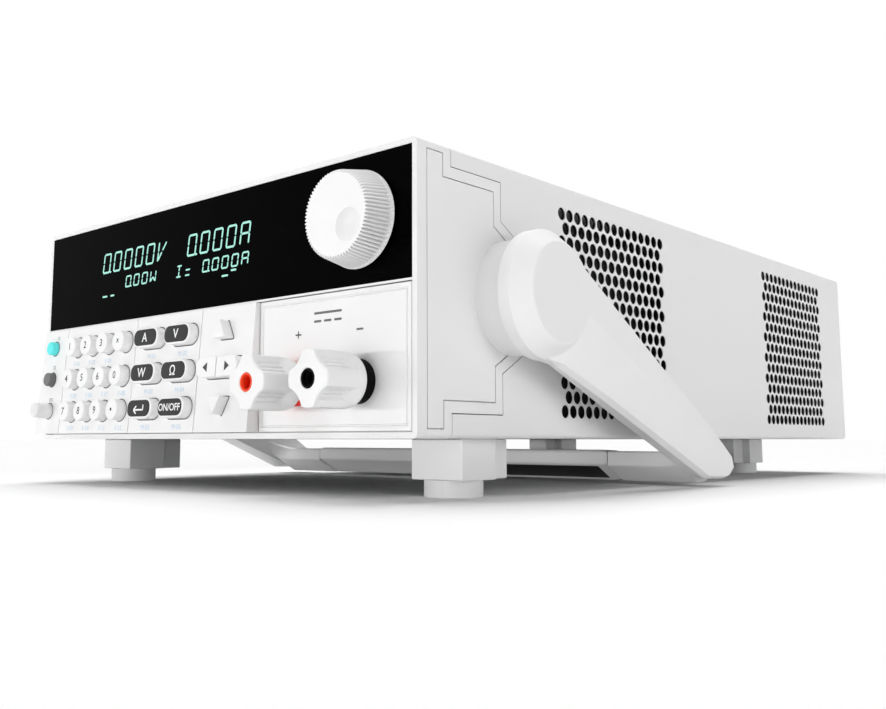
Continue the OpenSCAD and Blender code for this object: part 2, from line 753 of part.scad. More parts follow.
module pair_key(s) color("white") placed() key_body(arrow_x0, row_at(1), arrow_h) {
  pair_outline(s);
  pair_outline(s, lip_w);
}
module key_left() pair_key(-1);
module key_right() pair_key(1);

// All key holes in the keypad's face
module key_holes() {
  for (key = DIGITS) translate([digit_u(key), row_at(key[2])]) circle(digit_d / 2 + key_gap);
  for (key = BARS) translate([bar_u(key), row_at(key[2])])
    stadium(bar_key_w + 2 * key_gap, bar_key_d + 2 * key_gap);
  for (key = BUTTONS) translate([button_x0, button_v(key)]) circle(key[2] / 2 + key_gap);
  for (s = [-1, 1]) translate([arrow_x0, row_at(1 + s)]) arrow_outline(s, key_gap);
  translate([arrow_x0, row_at(1)]) stadium(pair_w + 2 * key_gap, pair_d + 2 * key_gap);
}

// Places of the bosses: on the grooves, between the rows of keys
module at_bosses() for (u = groove_x, row = [0.5, 1.5]) translate([u, row_at(row)]) children();

// Wedge-shaped panel with the key holes, the grooves and bosses for its board
module keypad_panel() color("white") placed() {
  difference() {
    along_x(keypad_x0, keypad_x1 - keypad_x0) polygon([[deck_y, keypad_z0], [-wedge_bottom, keypad_z0],
      [-wedge_top, keypad_z1], [deck_y, keypad_z1]]);
    on_keypad() {
      translate([keypad_x0 + wall_t, wall_t, -face_t - case_h])
        cube([keypad_x1 - keypad_x0 - 2 * wall_t, wedge_v - 2 * wall_t, case_h]);
      translate([0, 0, -face_t - over]) linear_extrude(face_t + 2 * over) key_holes();
      for (u = groove_x) translate([u - groove_w / 2, -over, -groove_d])
        cube([groove_w, wedge_v + 2 * over, groove_d + over]);
    }
  }
  on_keypad() translate([0, 0, -board_top]) linear_extrude(board_top - face_t / 2) at_bosses() circle(boss_r);
}

// Outline of the boards behind the keypad
module keypad_inside() translate([keypad_x0 + wall_t + panel_gap, wall_t + panel_gap])
  square([keypad_x1 - keypad_x0 - 2 * (wall_t + panel_gap), wedge_v - 2 * (wall_t + panel_gap)]);

// Rubber mat under the keys
module key_membrane() color("darkgray") placed() on_keypad()
  translate([0, 0, -board_top]) linear_extrude(membrane_t) difference() {
    keypad_inside();
    at_bosses() circle(boss_r + panel_gap);
  }

// Board that the bosses carry, under the mat
module keypad_board() color("seagreen") placed() on_keypad()
  translate([0, 0, -board_top - board_t]) linear_extrude(board_t) keypad_inside();

// Flat panel around the terminals, with a border groove
module terminal_panel() color("white") placed() difference() {
  low = [terminal_x0 + panel_gap / 2, keypad_z0];
  high = [inner_x - panel_gap, keypad_z1];
  along_y(0, deck_y) span(low, high);
  along_y(-over, groove_d + over) difference() {
    span(low + border * [1, 1], high - border * [1, 1]);
    span(low + (border + groove_w) * [1, 1], high - (border + groove_w) * [1, 1]);
  }
  for (t = TERMINALS) rod_y(post_x(t), terminal_z, -over, deck_y + 2 * over, post_r + post_gap);
}

// Display glass in the deck's opening, with its board behind the deck
module display_module() color("darkslategray") placed() {
  low = [glass_x0, glass_z0];
  high = [glass_x1, glass_z0 + glass_h];
  along_y(deck_y, deck_t) span(low, high);
  along_y(deck_back, board_t) span(low - display_margin * [1, 1], high + display_margin * [1, 1]);
}

// Rotary encoder behind the deck: body, bushing and shaft
module encoder() color("gray") placed() {
  along_y(deck_back, encoder_l) translate([knob_mid, window_mid]) square(encoder_w, center = true);
  rod_y(knob_mid, window_mid, -knob_stand / 2, deck_back + knob_stand, bushing_r);
  rod_y(knob_mid, window_mid, -knob_stand - shaft_in, knob_stand + shaft_in + deck_y, shaft_r);
}

// Conical knob with a shaft hole and a finger dimple
module knob() color("white") placed() difference() {
  rod_y(knob_mid, window_mid, -knob_stand - knob_l, knob_l, knob_face_r, knob_r);
  rod_y(knob_mid, window_mid, -knob_stand - shaft_in - shaft_room, knob_l, shaft_r + shaft_gap);
  ball = (dimple_r * dimple_r + dimple_d * dimple_d) / (2 * dimple_d);
  translate([knob_mid + dimple_off * cos(dimple_angle), -knob_stand - knob_l - ball + dimple_d,
    window_mid - dimple_off * sin(dimple_angle)]) sphere(ball);
}

// Frame of one terminal: z points out of the front plane
module at_terminal(t) translate([post_x(t), 0, terminal_z]) rotate([90, 0, 0]) children();

// Four lobes with scallops between them
module cap_outline() difference() {
  circle(cap_r);
  for (a = [45:90:315]) rotate(a) translate([cap_waist + scallop_r, 0]) circle(scallop_r);
}

// Screw cap: lobed grip, round skirt, thread bore, seat of its washer and hole of its sleeve
module terminal_cap(t) color("white") placed() at_terminal(t) difference() {
  union() {
    translate([0, 0, cap_back + skirt_l / 2])
      linear_extrude(cap_reach - cap_back - skirt_l / 2) cap_outline();
    translate([0, 0, cap_back]) cylinder(h = skirt_l / 2, r1 = cap_waist, r2 = cap_r - cap_gap / 2);
    translate([0, 0, cap_back + skirt_l / 2]) cylinder(h = skirt_l / 2, r = cap_r - cap_gap / 2);
  }
  translate([0, 0, cap_back - over]) {
    cylinder(h = post_tip - cap_back + over + post_gap, r = post_r + post_gap);
    cylinder(h = washer_t + 2 * lip_gap + over, r = washer_r + lip_gap);
  }
  cylinder(h = cap_reach + over, r = sleeve_r + post_gap / 5);
}

// Coloured sleeve in the front of a cap
module terminal_sleeve(t) color(t[2]) placed() at_terminal(t)
  translate([0, 0, cap_reach - sleeve_l]) difference() {
    cylinder(h = sleeve_l, r = sleeve_r);
    translate([0, 0, -over]) cylinder(h = sleeve_l + 2 * over, r = jack_r + sleeve_gap);
  }

// Coloured ring between the panel and a cap
module terminal_collar(t) color(t[2]) placed() at_terminal(t) difference() {
  cylinder(h = collar_h, r = collar_r);
  translate([0, 0, -over]) cylinder(h = collar_h + 2 * over, r = post_r + post_gap);
}

// Thrust washer that travels with a cap without turning
module terminal_washer(t) color("silver") placed() at_terminal(t)
  translate([0, 0, cap_back + lip_gap]) difference() {
    cylinder(h = washer_t, r = washer_r);
    translate([0, 0, -over]) cylinder(h = washer_t + 2 * over, r = post_r + post_gap);
  }

// Two posts with their sockets and the nuts behind the deck
module terminal_posts() color("goldenrod") placed() for (t = TERMINALS) at_terminal(t) difference() {
  union() {
    translate([0, 0, -deck_back - post_back]) cylinder(h = deck_back + post_back + post_tip, r = post_r);
    translate([0, 0, -deck_back - nut_t]) cylinder(h = nut_t, r = nut_r, $fn = 6);
  }
  translate([0, 0, -jack_deep]) cylinder(h = jack_deep + post_tip + over, r = jack_r);
}

// Frame of the bail: y runs from the hub axis along the arm, z across the arm
module on_bail() translate([0, hub_y, hub_z]) rotate([-bail_angle, 0, 0]) children();

// Outline of the free end of an arm, shrunk by s
module arm_end(s = 0) {
  tip = bail_reach + arm_over - s;
  top = arm_lift + arm_end_w / 2 - s;
  low = arm_lift - arm_end_w / 2 + s;
  neck = tip - tip_chamfer - arm_slant;
  polygon([[neck, top], [tip - tip_chamfer, top - tip_drop], [tip, top - tip_drop - tip_chamfer],
    [tip - tip_chamfer, low + arm_slant / 2], [neck, low]]);
}

// Arm with its disc: a flat ridge runs along the outer face and both flanks fall away from it
module bail_arm() on_bail() translate([bail_x0, 0, 0]) difference() {
  slice = arm_bevel / 8;
  union() {
    rotate([0, 90, 0]) cylinder(h = disc_rim, r = disc_r);
    translate([disc_rim, 0, 0]) rotate([0, 90, 0])
      cylinder(h = arm_t - disc_rim, r1 = disc_r, r2 = disc_face_r);
    hull() {
      rotate([0, 90, 0]) cylinder(h = disc_rim, r = disc_face_r + arm_bevel);
      along_x(0, slice) arm_end(arm_bevel);
      along_x(arm_bevel, arm_t / 2 - arm_bevel) arm_end();
      along_x(arm_t - arm_bevel - slice, slice) {
        circle(disc_face_r, $fn = 32);
        arm_end(arm_bevel / 2);
      }
      along_x(arm_t - slice, slice)
        translate([0, arm_lift]) square([bail_reach + arm_over - 2 * tip_chamfer, ridge_w]);
    }
  }
  translate([-over, 0, 0]) rotate([0, 90, 0])
    cylinder(h = pivot_len + bail_gap + over, r = pivot_r + pivot_gap);
}
module bail_arm_right() color("gainsboro") placed() bail_arm();
module bail_arm_left() color("gainsboro") placed() mirror([1, 0, 0]) bail_arm();

// Cross section of the crossbar, shrunk by s: a flat on each side, a ridge towards the hub and slopes between
module bar_outline(s = 0) {
  p = bail_reach + s;
  end = bail_reach + bar_w - s;
  t = bar_t / 2 - s;
  translate([0, bar_rise]) polygon([[p, 0], [p + bar_nose, -t], [end - bar_slope, -t], [end, -t / 4],
    [end, t / 2], [end - bar_slope / 2, t], [end - bar_slope / 2 - bar_flat, t]]);
}

// Two elbows joined by the core of the grip, with a fillet towards each arm
module bail_crossbar() color("gainsboro") placed() on_bail() {
  along_x(-bail_x0, bail_x0 - grip_len / 2) bar_outline();
  along_x(grip_len / 2, bail_x0 - grip_len / 2) bar_outline();
  along_x(-grip_len / 2 - over, grip_len + 2 * over) bar_outline(grip_wall);
  for (m = [0, 1]) mirror([m, 0, 0])
    translate([bail_x0 - elbow_r, bail_reach - elbow_r + bar_nose, bar_rise - 3 * bar_t / 8])
      linear_extrude(3 * bar_t / 8) difference() {
        square(elbow_r);
        circle(elbow_r);
      }
}

// Hollow grip around the core
module bail_grip() color("gainsboro") placed() on_bail()
  along_x(-grip_len / 2 + seam_gap, grip_len - 2 * seam_gap) difference() {
    bar_outline(-grip_proud);
    bar_outline(grip_wall - grip_fit);
  }

// Places of the four feet: x, y and the direction of the tail
module at_feet() {
  for (s = [-1, 1]) {
    translate([s * (half_w - front_foot_inset), front_foot_y]) children();
    translate([s * (half_w - rear_foot_inset), case_d - rear_foot_back]) rotate(180) children();
  }
}

// Blocks with a narrower tail behind
module foot_blocks() color("gainsboro") placed() translate([0, 0, -foot_h]) linear_extrude(foot_h) at_feet() {
  square([foot_w, foot_l], center = true);
  span([-tail_w / 2, 0], [tail_w / 2, foot_l / 2 + tail_l]);
}

// Round pads under the blocks
module foot_pads() color("white") placed()
  translate([0, 0, -ground]) linear_extrude(pad_h) at_feet() circle(pad_r);

// Main circuit board on its standoffs
module main_board() color("seagreen") placed() translate([board_x0, inner_y, sheet_t + standoff_h])
  cube([main_board_w, main_board_l, board_t]);

// Extruded heatsink along the right side
module heatsink() color("silver") placed() along_y(inner_y, sink_l) translate([sink_x0, sheet_t]) {
  fin_pitch = (sink_w - fin_t) / (sink_fins - 1);
  square([sink_w, sink_base]);
  for (i = [0:sink_fins - 1]) translate([i * fin_pitch, 0]) square([fin_t, sink_h]);
}

// Mains transformer: a core on the chassis and the winding around its middle
module transformer() color("peru") placed() {
  y0 = inner_y + main_board_l + winding_l / 2 + side_room;
  z0 = sheet_t + core_h / 2;
  translate([board_x0, y0 - core_t / 2, sheet_t]) cube([core_w, core_t, core_h]);
  translate([board_x0 + (core_w - winding_w) / 2, y0 - winding_l / 2, z0 - winding_w / 2])
    cube([winding_w, winding_l, winding_w]);
}

// Fan frame: duct, four struts, motor plate and spindle
module fan_frame() color("dimgray") placed() {
  along_y(fan_y, fan_d) translate([fan_mid, fan_z]) difference() {
    square(fan_w, center = true);
    circle(duct_r);
  }
  along_y(fan_y, fan_strut) translate([fan_mid, fan_z]) {
    circle(rotor_hub_r);
    intersection() {
      for (a = [45, 135]) rotate(a) square([fan_w, 2 * fan_strut], center = true);
      circle(duct_r + fan_wall / 2);
    }
  }
  rod_y(fan_mid, fan_z, fan_y, spindle_l, spindle_r);
}

// Fan rotor: hub and pitched blades
module fan_rotor() color("black") placed()
  translate([fan_mid, fan_y + fan_strut + rotor_gap + rotor_l / 2, fan_z]) rotate([90, 0, 0]) difference() {
    union() {
      cylinder(h = rotor_l, r = rotor_hub_r, center = true);
      intersection() {
        for (i = [0:blades - 1]) rotate(i * 360 / blades) translate([duct_r / 2, 0, 0])
          rotate([blade_pitch, 0, 0]) cube([duct_r, rotor_l, blade_t], center = true);
        cylinder(h = rotor_l, r = duct_r - blade_gap, center = true);
      }
    }
    cylinder(h = 2 * rotor_l, r = spindle_r + shaft_gap, center = true);
  }

// Mains inlet: flange, body with its cavity, and three recessed pins
module mains_inlet() color("black") placed() {
  difference() {
    union() {
      along_y(rear_y, inlet_flange) {
        span(inlet_corner(-1, inlet_wall), inlet_corner(1, inlet_wall));
        translate([inlet_mid, inlet_z]) stadium(inlet_screws + 4 * screw_head_r, 4 * screw_head_r);
      }
      along_y(rear_y - inlet_deep - inlet_wall, inlet_deep + inlet_wall + inlet_flange / 2)
        span(inlet_corner(-1), inlet_corner(1));
    }
    along_y(rear_y - inlet_deep, 2 * inlet_deep)
      translate([inlet_mid, inlet_z]) square([inlet_w, inlet_h], center = true);
    for (s = [-1, 1])
      rod_y(inlet_mid + s * inlet_screws / 2, inlet_z, rear_y - over, inlet_flange + 2 * over, screw_hole_r);
  }
  for (i = [-1:1])
    along_y(rear_y - inlet_deep - inlet_wall / 2, inlet_wall / 2 + pin_l)
      translate([inlet_mid + i * pin_pitch, inlet_z + (1 - 2 * abs(i)) * pin_rise])
        square([pin_w, pin_h], center = true);
}

// Screw along y with its head behind the plane y0
module screw(x, z, y0) {
  rod_y(x, z, y0, screw_head_h, screw_head_r);
  rod_y(x, z, y0 - screw_l, screw_l + screw_head_h / 2, screw_r);
}

// Four screws of the rear panel and two of the inlet
module case_screws() color("silver") placed() for (s = [-1, 1]) {
  for (z = [low_screw_z, top_screw_z]) screw(s * screw_x, z, rear_y);
  screw(inlet_mid + s * inlet_screws / 2, inlet_z, rear_y + inlet_flange);
}

front_frame();
hub_plates();
case_cover();
bottom_chassis();
rear_panel();
display_window();
keypad_panel();
terminal_panel();
display_module();
keypad_board();
key_membrane();
encoder();
knob();
for (key = DIGITS) digit_key(key);
for (key = BARS) bar_key(key);
for (key = BUTTONS) side_button(key);
key_up();
key_down();
key_left();
key_right();
for (t = TERMINALS) {
  terminal_cap(t);
  terminal_sleeve(t);
  terminal_collar(t);
  terminal_washer(t);
}
terminal_posts();
bail_arm_right();
bail_arm_left();
bail_crossbar();
bail_grip();
foot_blocks();
foot_pads();
main_board();
heatsink();
transformer();
fan_frame();
fan_rotor();
mains_inlet();
case_screws();
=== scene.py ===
"""Looks of a bench DC electronic load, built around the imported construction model.

Pieces are worked out in millimetres: x to the right, y back from the front plane, z up from the case's
underside.
"""
import json
import math

import bmesh
import bpy
import numpy as np
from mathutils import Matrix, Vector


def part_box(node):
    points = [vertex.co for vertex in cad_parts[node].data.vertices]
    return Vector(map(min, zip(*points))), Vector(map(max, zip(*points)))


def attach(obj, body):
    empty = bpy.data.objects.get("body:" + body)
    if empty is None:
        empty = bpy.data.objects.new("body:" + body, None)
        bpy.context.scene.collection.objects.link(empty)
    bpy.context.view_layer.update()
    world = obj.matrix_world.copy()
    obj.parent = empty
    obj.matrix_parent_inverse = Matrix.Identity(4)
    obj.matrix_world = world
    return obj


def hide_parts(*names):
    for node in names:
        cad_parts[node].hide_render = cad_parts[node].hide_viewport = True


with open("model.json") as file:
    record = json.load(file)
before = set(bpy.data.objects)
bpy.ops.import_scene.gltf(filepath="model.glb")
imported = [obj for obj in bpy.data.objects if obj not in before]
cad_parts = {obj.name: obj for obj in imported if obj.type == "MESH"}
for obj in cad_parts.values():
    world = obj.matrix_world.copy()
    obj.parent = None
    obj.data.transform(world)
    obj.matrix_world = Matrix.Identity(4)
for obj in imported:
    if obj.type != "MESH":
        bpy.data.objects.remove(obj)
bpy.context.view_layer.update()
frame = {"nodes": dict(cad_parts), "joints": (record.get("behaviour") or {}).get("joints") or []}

# Camera: the photograph was taken from just above the floor, in front of the right-hand corner, with the
# lens tilted up a little. Place, tilt and shift were worked out from the corners of the case.
lens = bpy.data.cameras.new("camera")
lens.lens = 39.42
lens.shift_x = 0.0395
lens.shift_y = -0.0373
lens.clip_start = 0.01
camera = bpy.data.objects.new("camera", lens)
bpy.context.scene.collection.objects.link(camera)
camera.location = (0.290017, -0.372295, 0.017823)
camera.rotation_euler = (math.radians(96.95), 0, math.radians(42.19))
bpy.context.scene.camera = camera


# Bottom chassis, case screws, washers and encoder: zinc-plated steel with fine rolling marks. The chassis
# is bent from one sheet and screwed into the cover; its edges stay as the construction model has them.
class Value:
    """A shader socket. Arithmetic on values adds Math nodes to their tree."""

    def __init__(self, socket):
        self.socket = socket

    def node(self, kind, settings, inputs, out=0):
        """Adds a node to this value's tree: its settings first, then what its sockets take."""
        tree = self.socket.id_data
        made = tree.nodes.new(kind)
        for key, setting in settings.items():
            setattr(made, key, setting)
        for key, given in inputs.items():
            if isinstance(given, Value):
                tree.links.new(given.socket, made.inputs[key])
            else:
                made.inputs[key].default_value = given
        return Value(made.outputs[out])

    def math(self, operation, first, second):
        """One Math node on two values or numbers."""
        return self.node("ShaderNodeMath", {"operation": operation}, {0: first, 1: second})

    def __add__(self, other):
        return self.math("ADD", self, other)

    def __radd__(self, other):
        return self.math("ADD", other, self)

    def __sub__(self, other):
        return self.math("SUBTRACT", self, other)

    def __rsub__(self, other):
        return self.math("SUBTRACT", other, self)

    def __mul__(self, other):
        return self.math("MULTIPLY", self, other)

    def __rmul__(self, other):
        return self.math("MULTIPLY", other, self)

    def __lt__(self, other):
        return self.math("LESS_THAN", self, other)

    def __gt__(self, other):
        return self.math("GREATER_THAN", self, other)


def start(name, constants):
    """Opens a material and sets its shader's constants: returns it, its shader and the surface point."""
    material = bpy.data.materials.new(name)
    material.use_nodes = True
    nodes = material.node_tree.nodes
    shader = nodes["Principled BSDF"]
    for socket, constant in constants.items():
        shader.inputs[socket].default_value = constant
    return material, shader, Value(nodes.new("ShaderNodeTexCoord").outputs["Object"])


def feed(shader, values):
    """Links values to the shader's sockets of those names."""
    for socket, value in values.items():
        shader.id_data.links.new(value.socket, shader.inputs[socket])


def noise(point, scale, detail=2.0):
    """Soft noise from 0 to 1, with so many features in a metre."""
    return point.node("ShaderNodeTexNoise", {}, {"Vector": point, "Scale": scale, "Detail": detail})


def stretched(point, factors):
    """The surface point with its coordinates multiplied by three factors."""
    return point.node("ShaderNodeVectorMath", {"operation": "MULTIPLY"}, {0: point, 1: factors})


def blend(share, low, high):
    """Colour that goes from low to high, each a colour or a value, as a share goes from 0 to 1."""
    low, high = (end if isinstance(end, Value) else (*end, 1) for end in (low, high))
    return share.node("ShaderNodeMix", {"data_type": "RGBA"}, {0: share, 6: low, 7: high}, 2)


def bump(height, strength, depth):
    """Surface normal of a height pattern, depth in metres."""
    return height.node("ShaderNodeBump", {}, {"Height": height, "Strength": strength, "Distance": depth})


def zinc():
    """Plated steel: streaks along the rolling direction change its tone and gloss."""
    material, shader, point = start("zinc", {"Metallic": 1.0})
    streaks = noise(stretched(point, (900, 12, 900)), 1.0, 4)
    patches = noise(point, 90, 3)
    feed(shader, {"Base Color": blend(patches, (0.30, 0.31, 0.32), (0.42, 0.43, 0.44)),
                  "Roughness": 0.28 + 0.2 * streaks, "Normal": bump(streaks, 0.1, 0.0001)})
    return material


def dress(material, names, soft=0.0):
    """Puts a material on construction pieces; soft is the width in mm to which their edges are rounded."""
    for name in names:
        piece = frame["nodes"][name]
        piece.data.materials.clear()
        piece.data.materials.append(material)
        if soft:
            weld = piece.modifiers.new("weld", "WELD")
            weld.merge_threshold = 0.000002
            bevel = piece.modifiers.new("soft edges", "BEVEL")
            bevel.width = soft * 0.001
            bevel.segments = 3
            bevel.limit_method = "ANGLE"
            bevel.angle_limit = math.radians(32)
            shade = piece.modifiers.new("shading", "WEIGHTED_NORMAL")
            shade.keep_sharp = False


plated = zinc()
dress(plated, ["bottom_chassis", "case_screws", "washer_red", "washer_black", "encoder"])


# Boards behind the front and over the chassis: green solder mask with tinned pads, held on standoffs. The
# key membrane between the keypad's board and its panel is grey silicone rubber.
def solder_mask():
    """Green lacquer over copper: cells of a Voronoi pattern stand for tinned pads."""
    material, shader, point = start("solder_mask", {"Coat Weight": 0.3})
    pads = point.node("ShaderNodeTexVoronoi", {}, {"Vector": point, "Scale": 260.0}) < 0.16
    copper = noise(stretched(point, (400, 60, 400)), 1.0, 1) > 0.55
    green = blend(copper, (0.012, 0.10, 0.035), (0.02, 0.15, 0.05))
    tinned = blend(pads, green, (0.6, 0.6, 0.58))
    feed(shader, {"Base Color": tinned, "Metallic": pads, "Roughness": 0.5 - 0.2 * pads,
                  "Normal": bump(copper, 0.2, 0.00003)})
    return material


def rubber(name, colour):
    """Matt rubber: a fine grain and a faint bloom that lightens it in clouds."""
    material, shader, point = start(name, {"Specular IOR Level": 0.3})
    bloom = noise(point, 120, 3)
    grain = noise(point, 5200)
    lighter = [1 - 0.8 * (1 - part) for part in colour]
    feed(shader, {"Base Color": blend(0.3 * bloom, colour, lighter), "Roughness": 0.62 + 0.15 * grain,
                  "Normal": bump(grain, 0.2, 0.00008)})
    return material


dress(solder_mask(), ["main_board", "keypad_board", "display_module"])
dress(rubber("membrane", (0.30, 0.31, 0.32)), ["key_membrane"])


# Heatsink, transformer and fan: black anodised fins along the right side, a varnished core on the chassis,
# a moulded axial fan against the rear panel that draws air in through the vents.
def anodised():
    """Black anodised extrusion: die lines run along it."""
    material, shader, point = start("anodised", {"Metallic": 0.2, "Specular IOR Level": 0.2})
    lines = noise(stretched(point, (1500, 4, 1500)), 1.0, 3)
    feed(shader, {"Base Color": blend(lines, (0.002, 0.002, 0.0022), (0.01, 0.01, 0.011)),
                  "Roughness": 0.42 + 0.18 * lines, "Normal": bump(lines, 0.15, 0.00005)})
    return material


def varnished():
    """Stack of iron sheets under amber varnish: bands of a wave pattern across the stack."""
    material, shader, point = start("varnished", {"Coat Weight": 0.4, "Roughness": 0.4})
    sheets = point.node("ShaderNodeTexWave", {"bands_direction": "Y"},
                        {"Vector": point, "Scale": 320.0, "Distortion": 0.6, "Detail": 2.0}, 1)
    feed(shader, {"Base Color": blend(sheets, (0.05, 0.035, 0.02), (0.16, 0.12, 0.08)),
                  "Normal": bump(sheets, 0.3, 0.0001)})
    return material


def moulded(name, colour, gloss, grain=2600.0, shine=0.4):
    """Satin moulded plastic: eroded grain in the surface, faint clouds in its tone and gloss."""
    material, shader, point = start(name, {"Specular IOR Level": shine})
    cloud = noise(point, 45, 3)
    fine = noise(point, grain, 3)
    darker = [0.955 * part for part in colour]
    feed(shader, {"Base Color": blend(cloud, darker, colour), "Roughness": gloss - 0.06 + 0.12 * fine,
                  "Normal": bump(fine, 0.16, 0.00006)})
    return material


dress(anodised(), ["heatsink"])
dress(varnished(), ["transformer"])
black_plastic = moulded("black_plastic", (0.022, 0.022, 0.024), 0.5)
dress(black_plastic, ["fan_frame", "fan_rotor", "mains_inlet"])


# Case cover and rear panel: sheet steel, powder coated in off-white outside. The cover's vent fields are
# punched through both sides; behind the paint its inner face is primer, painted near black as shade so
# that the vents read dark.
def part_of(point, axis):
    """One coordinate of the surface point in metres: 0 is across, 1 is back and 2 is up."""
    return point.node("ShaderNodeSeparateXYZ", {}, {0: point}, axis)


def powder_coat(name, colour, half, low, high, back):
    """Powder coat: orange peel and a fine speckle; the inner box, half wide to each side, from low to high
    and as far as back, shows the inner face, painted near black as shade."""
    material, shader, point = start(name, {"Specular IOR Level": 0.4})
    peel = noise(point, 900, 2)
    speck = noise(point, 5200, 1)
    cloud = noise(point, 14, 2)
    outer = blend(cloud, [0.965 * part for part in colour], colour)
    across = part_of(point, 0)
    up = part_of(point, 2)
    inner = (across < half) * (across > -half) * (up < high) * (up > low) * (part_of(point, 1) < back)
    # Near-black inner coat: primer darkened as painted shade, which keeps the vents dark.
    primer_and_shade = (0.002, 0.002, 0.002)
    feed(shader, {"Base Color": blend(inner, outer, primer_and_shade), "Roughness": 0.5 + 0.14 * speck,
                  "Normal": bump(0.7 * peel + 0.3 * speck, 0.14, 0.00012)})
    return material


off_white = (0.79, 0.79, 0.79)
cover_low, cover_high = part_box("case_cover")
skin = 0.0003
bend = 0.0025
panel_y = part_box("rear_panel")[0].y
cover_paint = powder_coat("cover_paint", off_white, cover_high.x - skin, cover_low.z + bend,
                          cover_high.z - bend, panel_y)
dress(cover_paint, ["case_cover"])
dress(powder_coat("panel_paint", off_white, 0.0, 0.0, 0.0, 0.0), ["rear_panel"])

# Front frame and hub plates: satin off-white mouldings. The frame rims the front and reaches back along
# both sides in stepped cheeks; each hub plate is set flush into a cheek and carries the bail's hub.
body_white = moulded("body_white", (0.81, 0.81, 0.81), 0.46)
dress(body_white, ["front_frame"], 0.35)
dress(body_white, ["hub_plates"], 0.2)


# Display window: one black acrylic sheet over the top half of the front, set into the frame's rim. The
# readout behind it shows as pale cyan-green segments, each a thin bar on the sheet's face.
front_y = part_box("display_window")[0].y
under_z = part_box("case_cover")[0].z
corner = np.array([0.0, front_y, under_z])
film = 0.04


def join(shells):
    """Several shells of points and faces as one."""
    points = []
    faces = []
    count = 0
    for shell_points, shell_faces in shells:
        points.append(np.asarray(shell_points, float))
        faces += [[count + index for index in face] for face in shell_faces]
        count += len(shell_points)
    return np.concatenate(points), faces


def solid(name, shell, body, slot, material, stands_for=(), crease=38):
    """Makes a piece of a shell in millimetres: welded, faces outwards, smooth up to the crease angle."""
    points, faces = shell
    mesh = bpy.data.meshes.new(name)
    mesh.from_pydata((corner + 0.001 * np.asarray(points, float)).tolist(), [], faces)
    work = bmesh.new()
    work.from_mesh(mesh)
    bmesh.ops.remove_doubles(work, verts=work.verts, dist=1e-7)
    bmesh.ops.recalc_face_normals(work, faces=work.faces)
    work.to_mesh(mesh)
    work.free()
    mesh.shade_smooth()
    mesh.set_sharp_from_angle(angle=math.radians(crease))
    mesh.materials.append(material)
    piece = bpy.data.objects.new(name, mesh)
    bpy.context.scene.collection.objects.link(piece)
    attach(piece, body)
    if stands_for:
        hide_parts(*stands_for)
    return piece


def loft(rings, ends=True):
    """Quads between rings of equal count, rings[station, point]; the first and last ring get a flat face,
    or with ends off the last ring meets the first."""
    rings = np.asarray(rings, float)
    stations, count = rings.shape[:2]
    last = stations - 1 if ends else stations
    i, j = np.meshgrid(np.arange(last), np.arange(count), indexing="ij")
    here = i * count
    ahead = (i + 1) % stations * count
    step = (j + 1) % count
    quads = np.stack([here + j, here + step, ahead + step, ahead + j], -1).reshape(-1, 4).tolist()
    caps = [list(range(count))[::-1], list(range((stations - 1) * count, stations * count))] if ends else []
    return rings.reshape(-1, 3), quads + caps


def stroke(start_at, end_at, width, place):
    """Flat bar from one point of a plane to another, as a thin closed box; place maps (u, v, height)."""
    start_at = np.asarray(start_at, float)
    along = np.asarray(end_at, float) - start_at
    unit = along / np.hypot(*along)
    side = np.array([-unit[1], unit[0]]) * width / 2
    cut = unit * width / 2
    end_at = start_at + along
    outline = np.array([start_at, start_at + cut + side, end_at - cut + side, end_at, end_at - cut - side,
                        start_at + cut - side])
    rings = [place(outline[:, 0], outline[:, 1], np.full(6, height)) for height in (0.0, film)]
    return loft(rings)


def acrylic():
    """Black acrylic: its anti-reflection coat leaves nearly no gloss; faint wipe marks in its roughness."""
    material, shader, point = start("acrylic", {"Specular IOR Level": 0.012})
    wipe = noise(stretched(point, (40, 40, 160)), 1.0, 4)
    feed(shader, {"Base Color": blend(wipe, (0.0004, 0.0004, 0.0005), (0.0008, 0.0008, 0.0009)),
                  "Roughness": 0.1 + 0.12 * wipe})
    return material


def glowing():
    """Lit segments: the glow fades a little from spot to spot."""
    material, shader, point = start("glowing", {"Base Color": (0, 0, 0, 1), "Emission Strength": 1.0})
    spots = noise(point, 700, 1)
    feed(shader, {"Emission Color": blend(spots, (0.30, 0.76, 0.62), (0.50, 0.96, 0.84)),
                  "Roughness": 0.5 + 0.1 * spots})
    return material


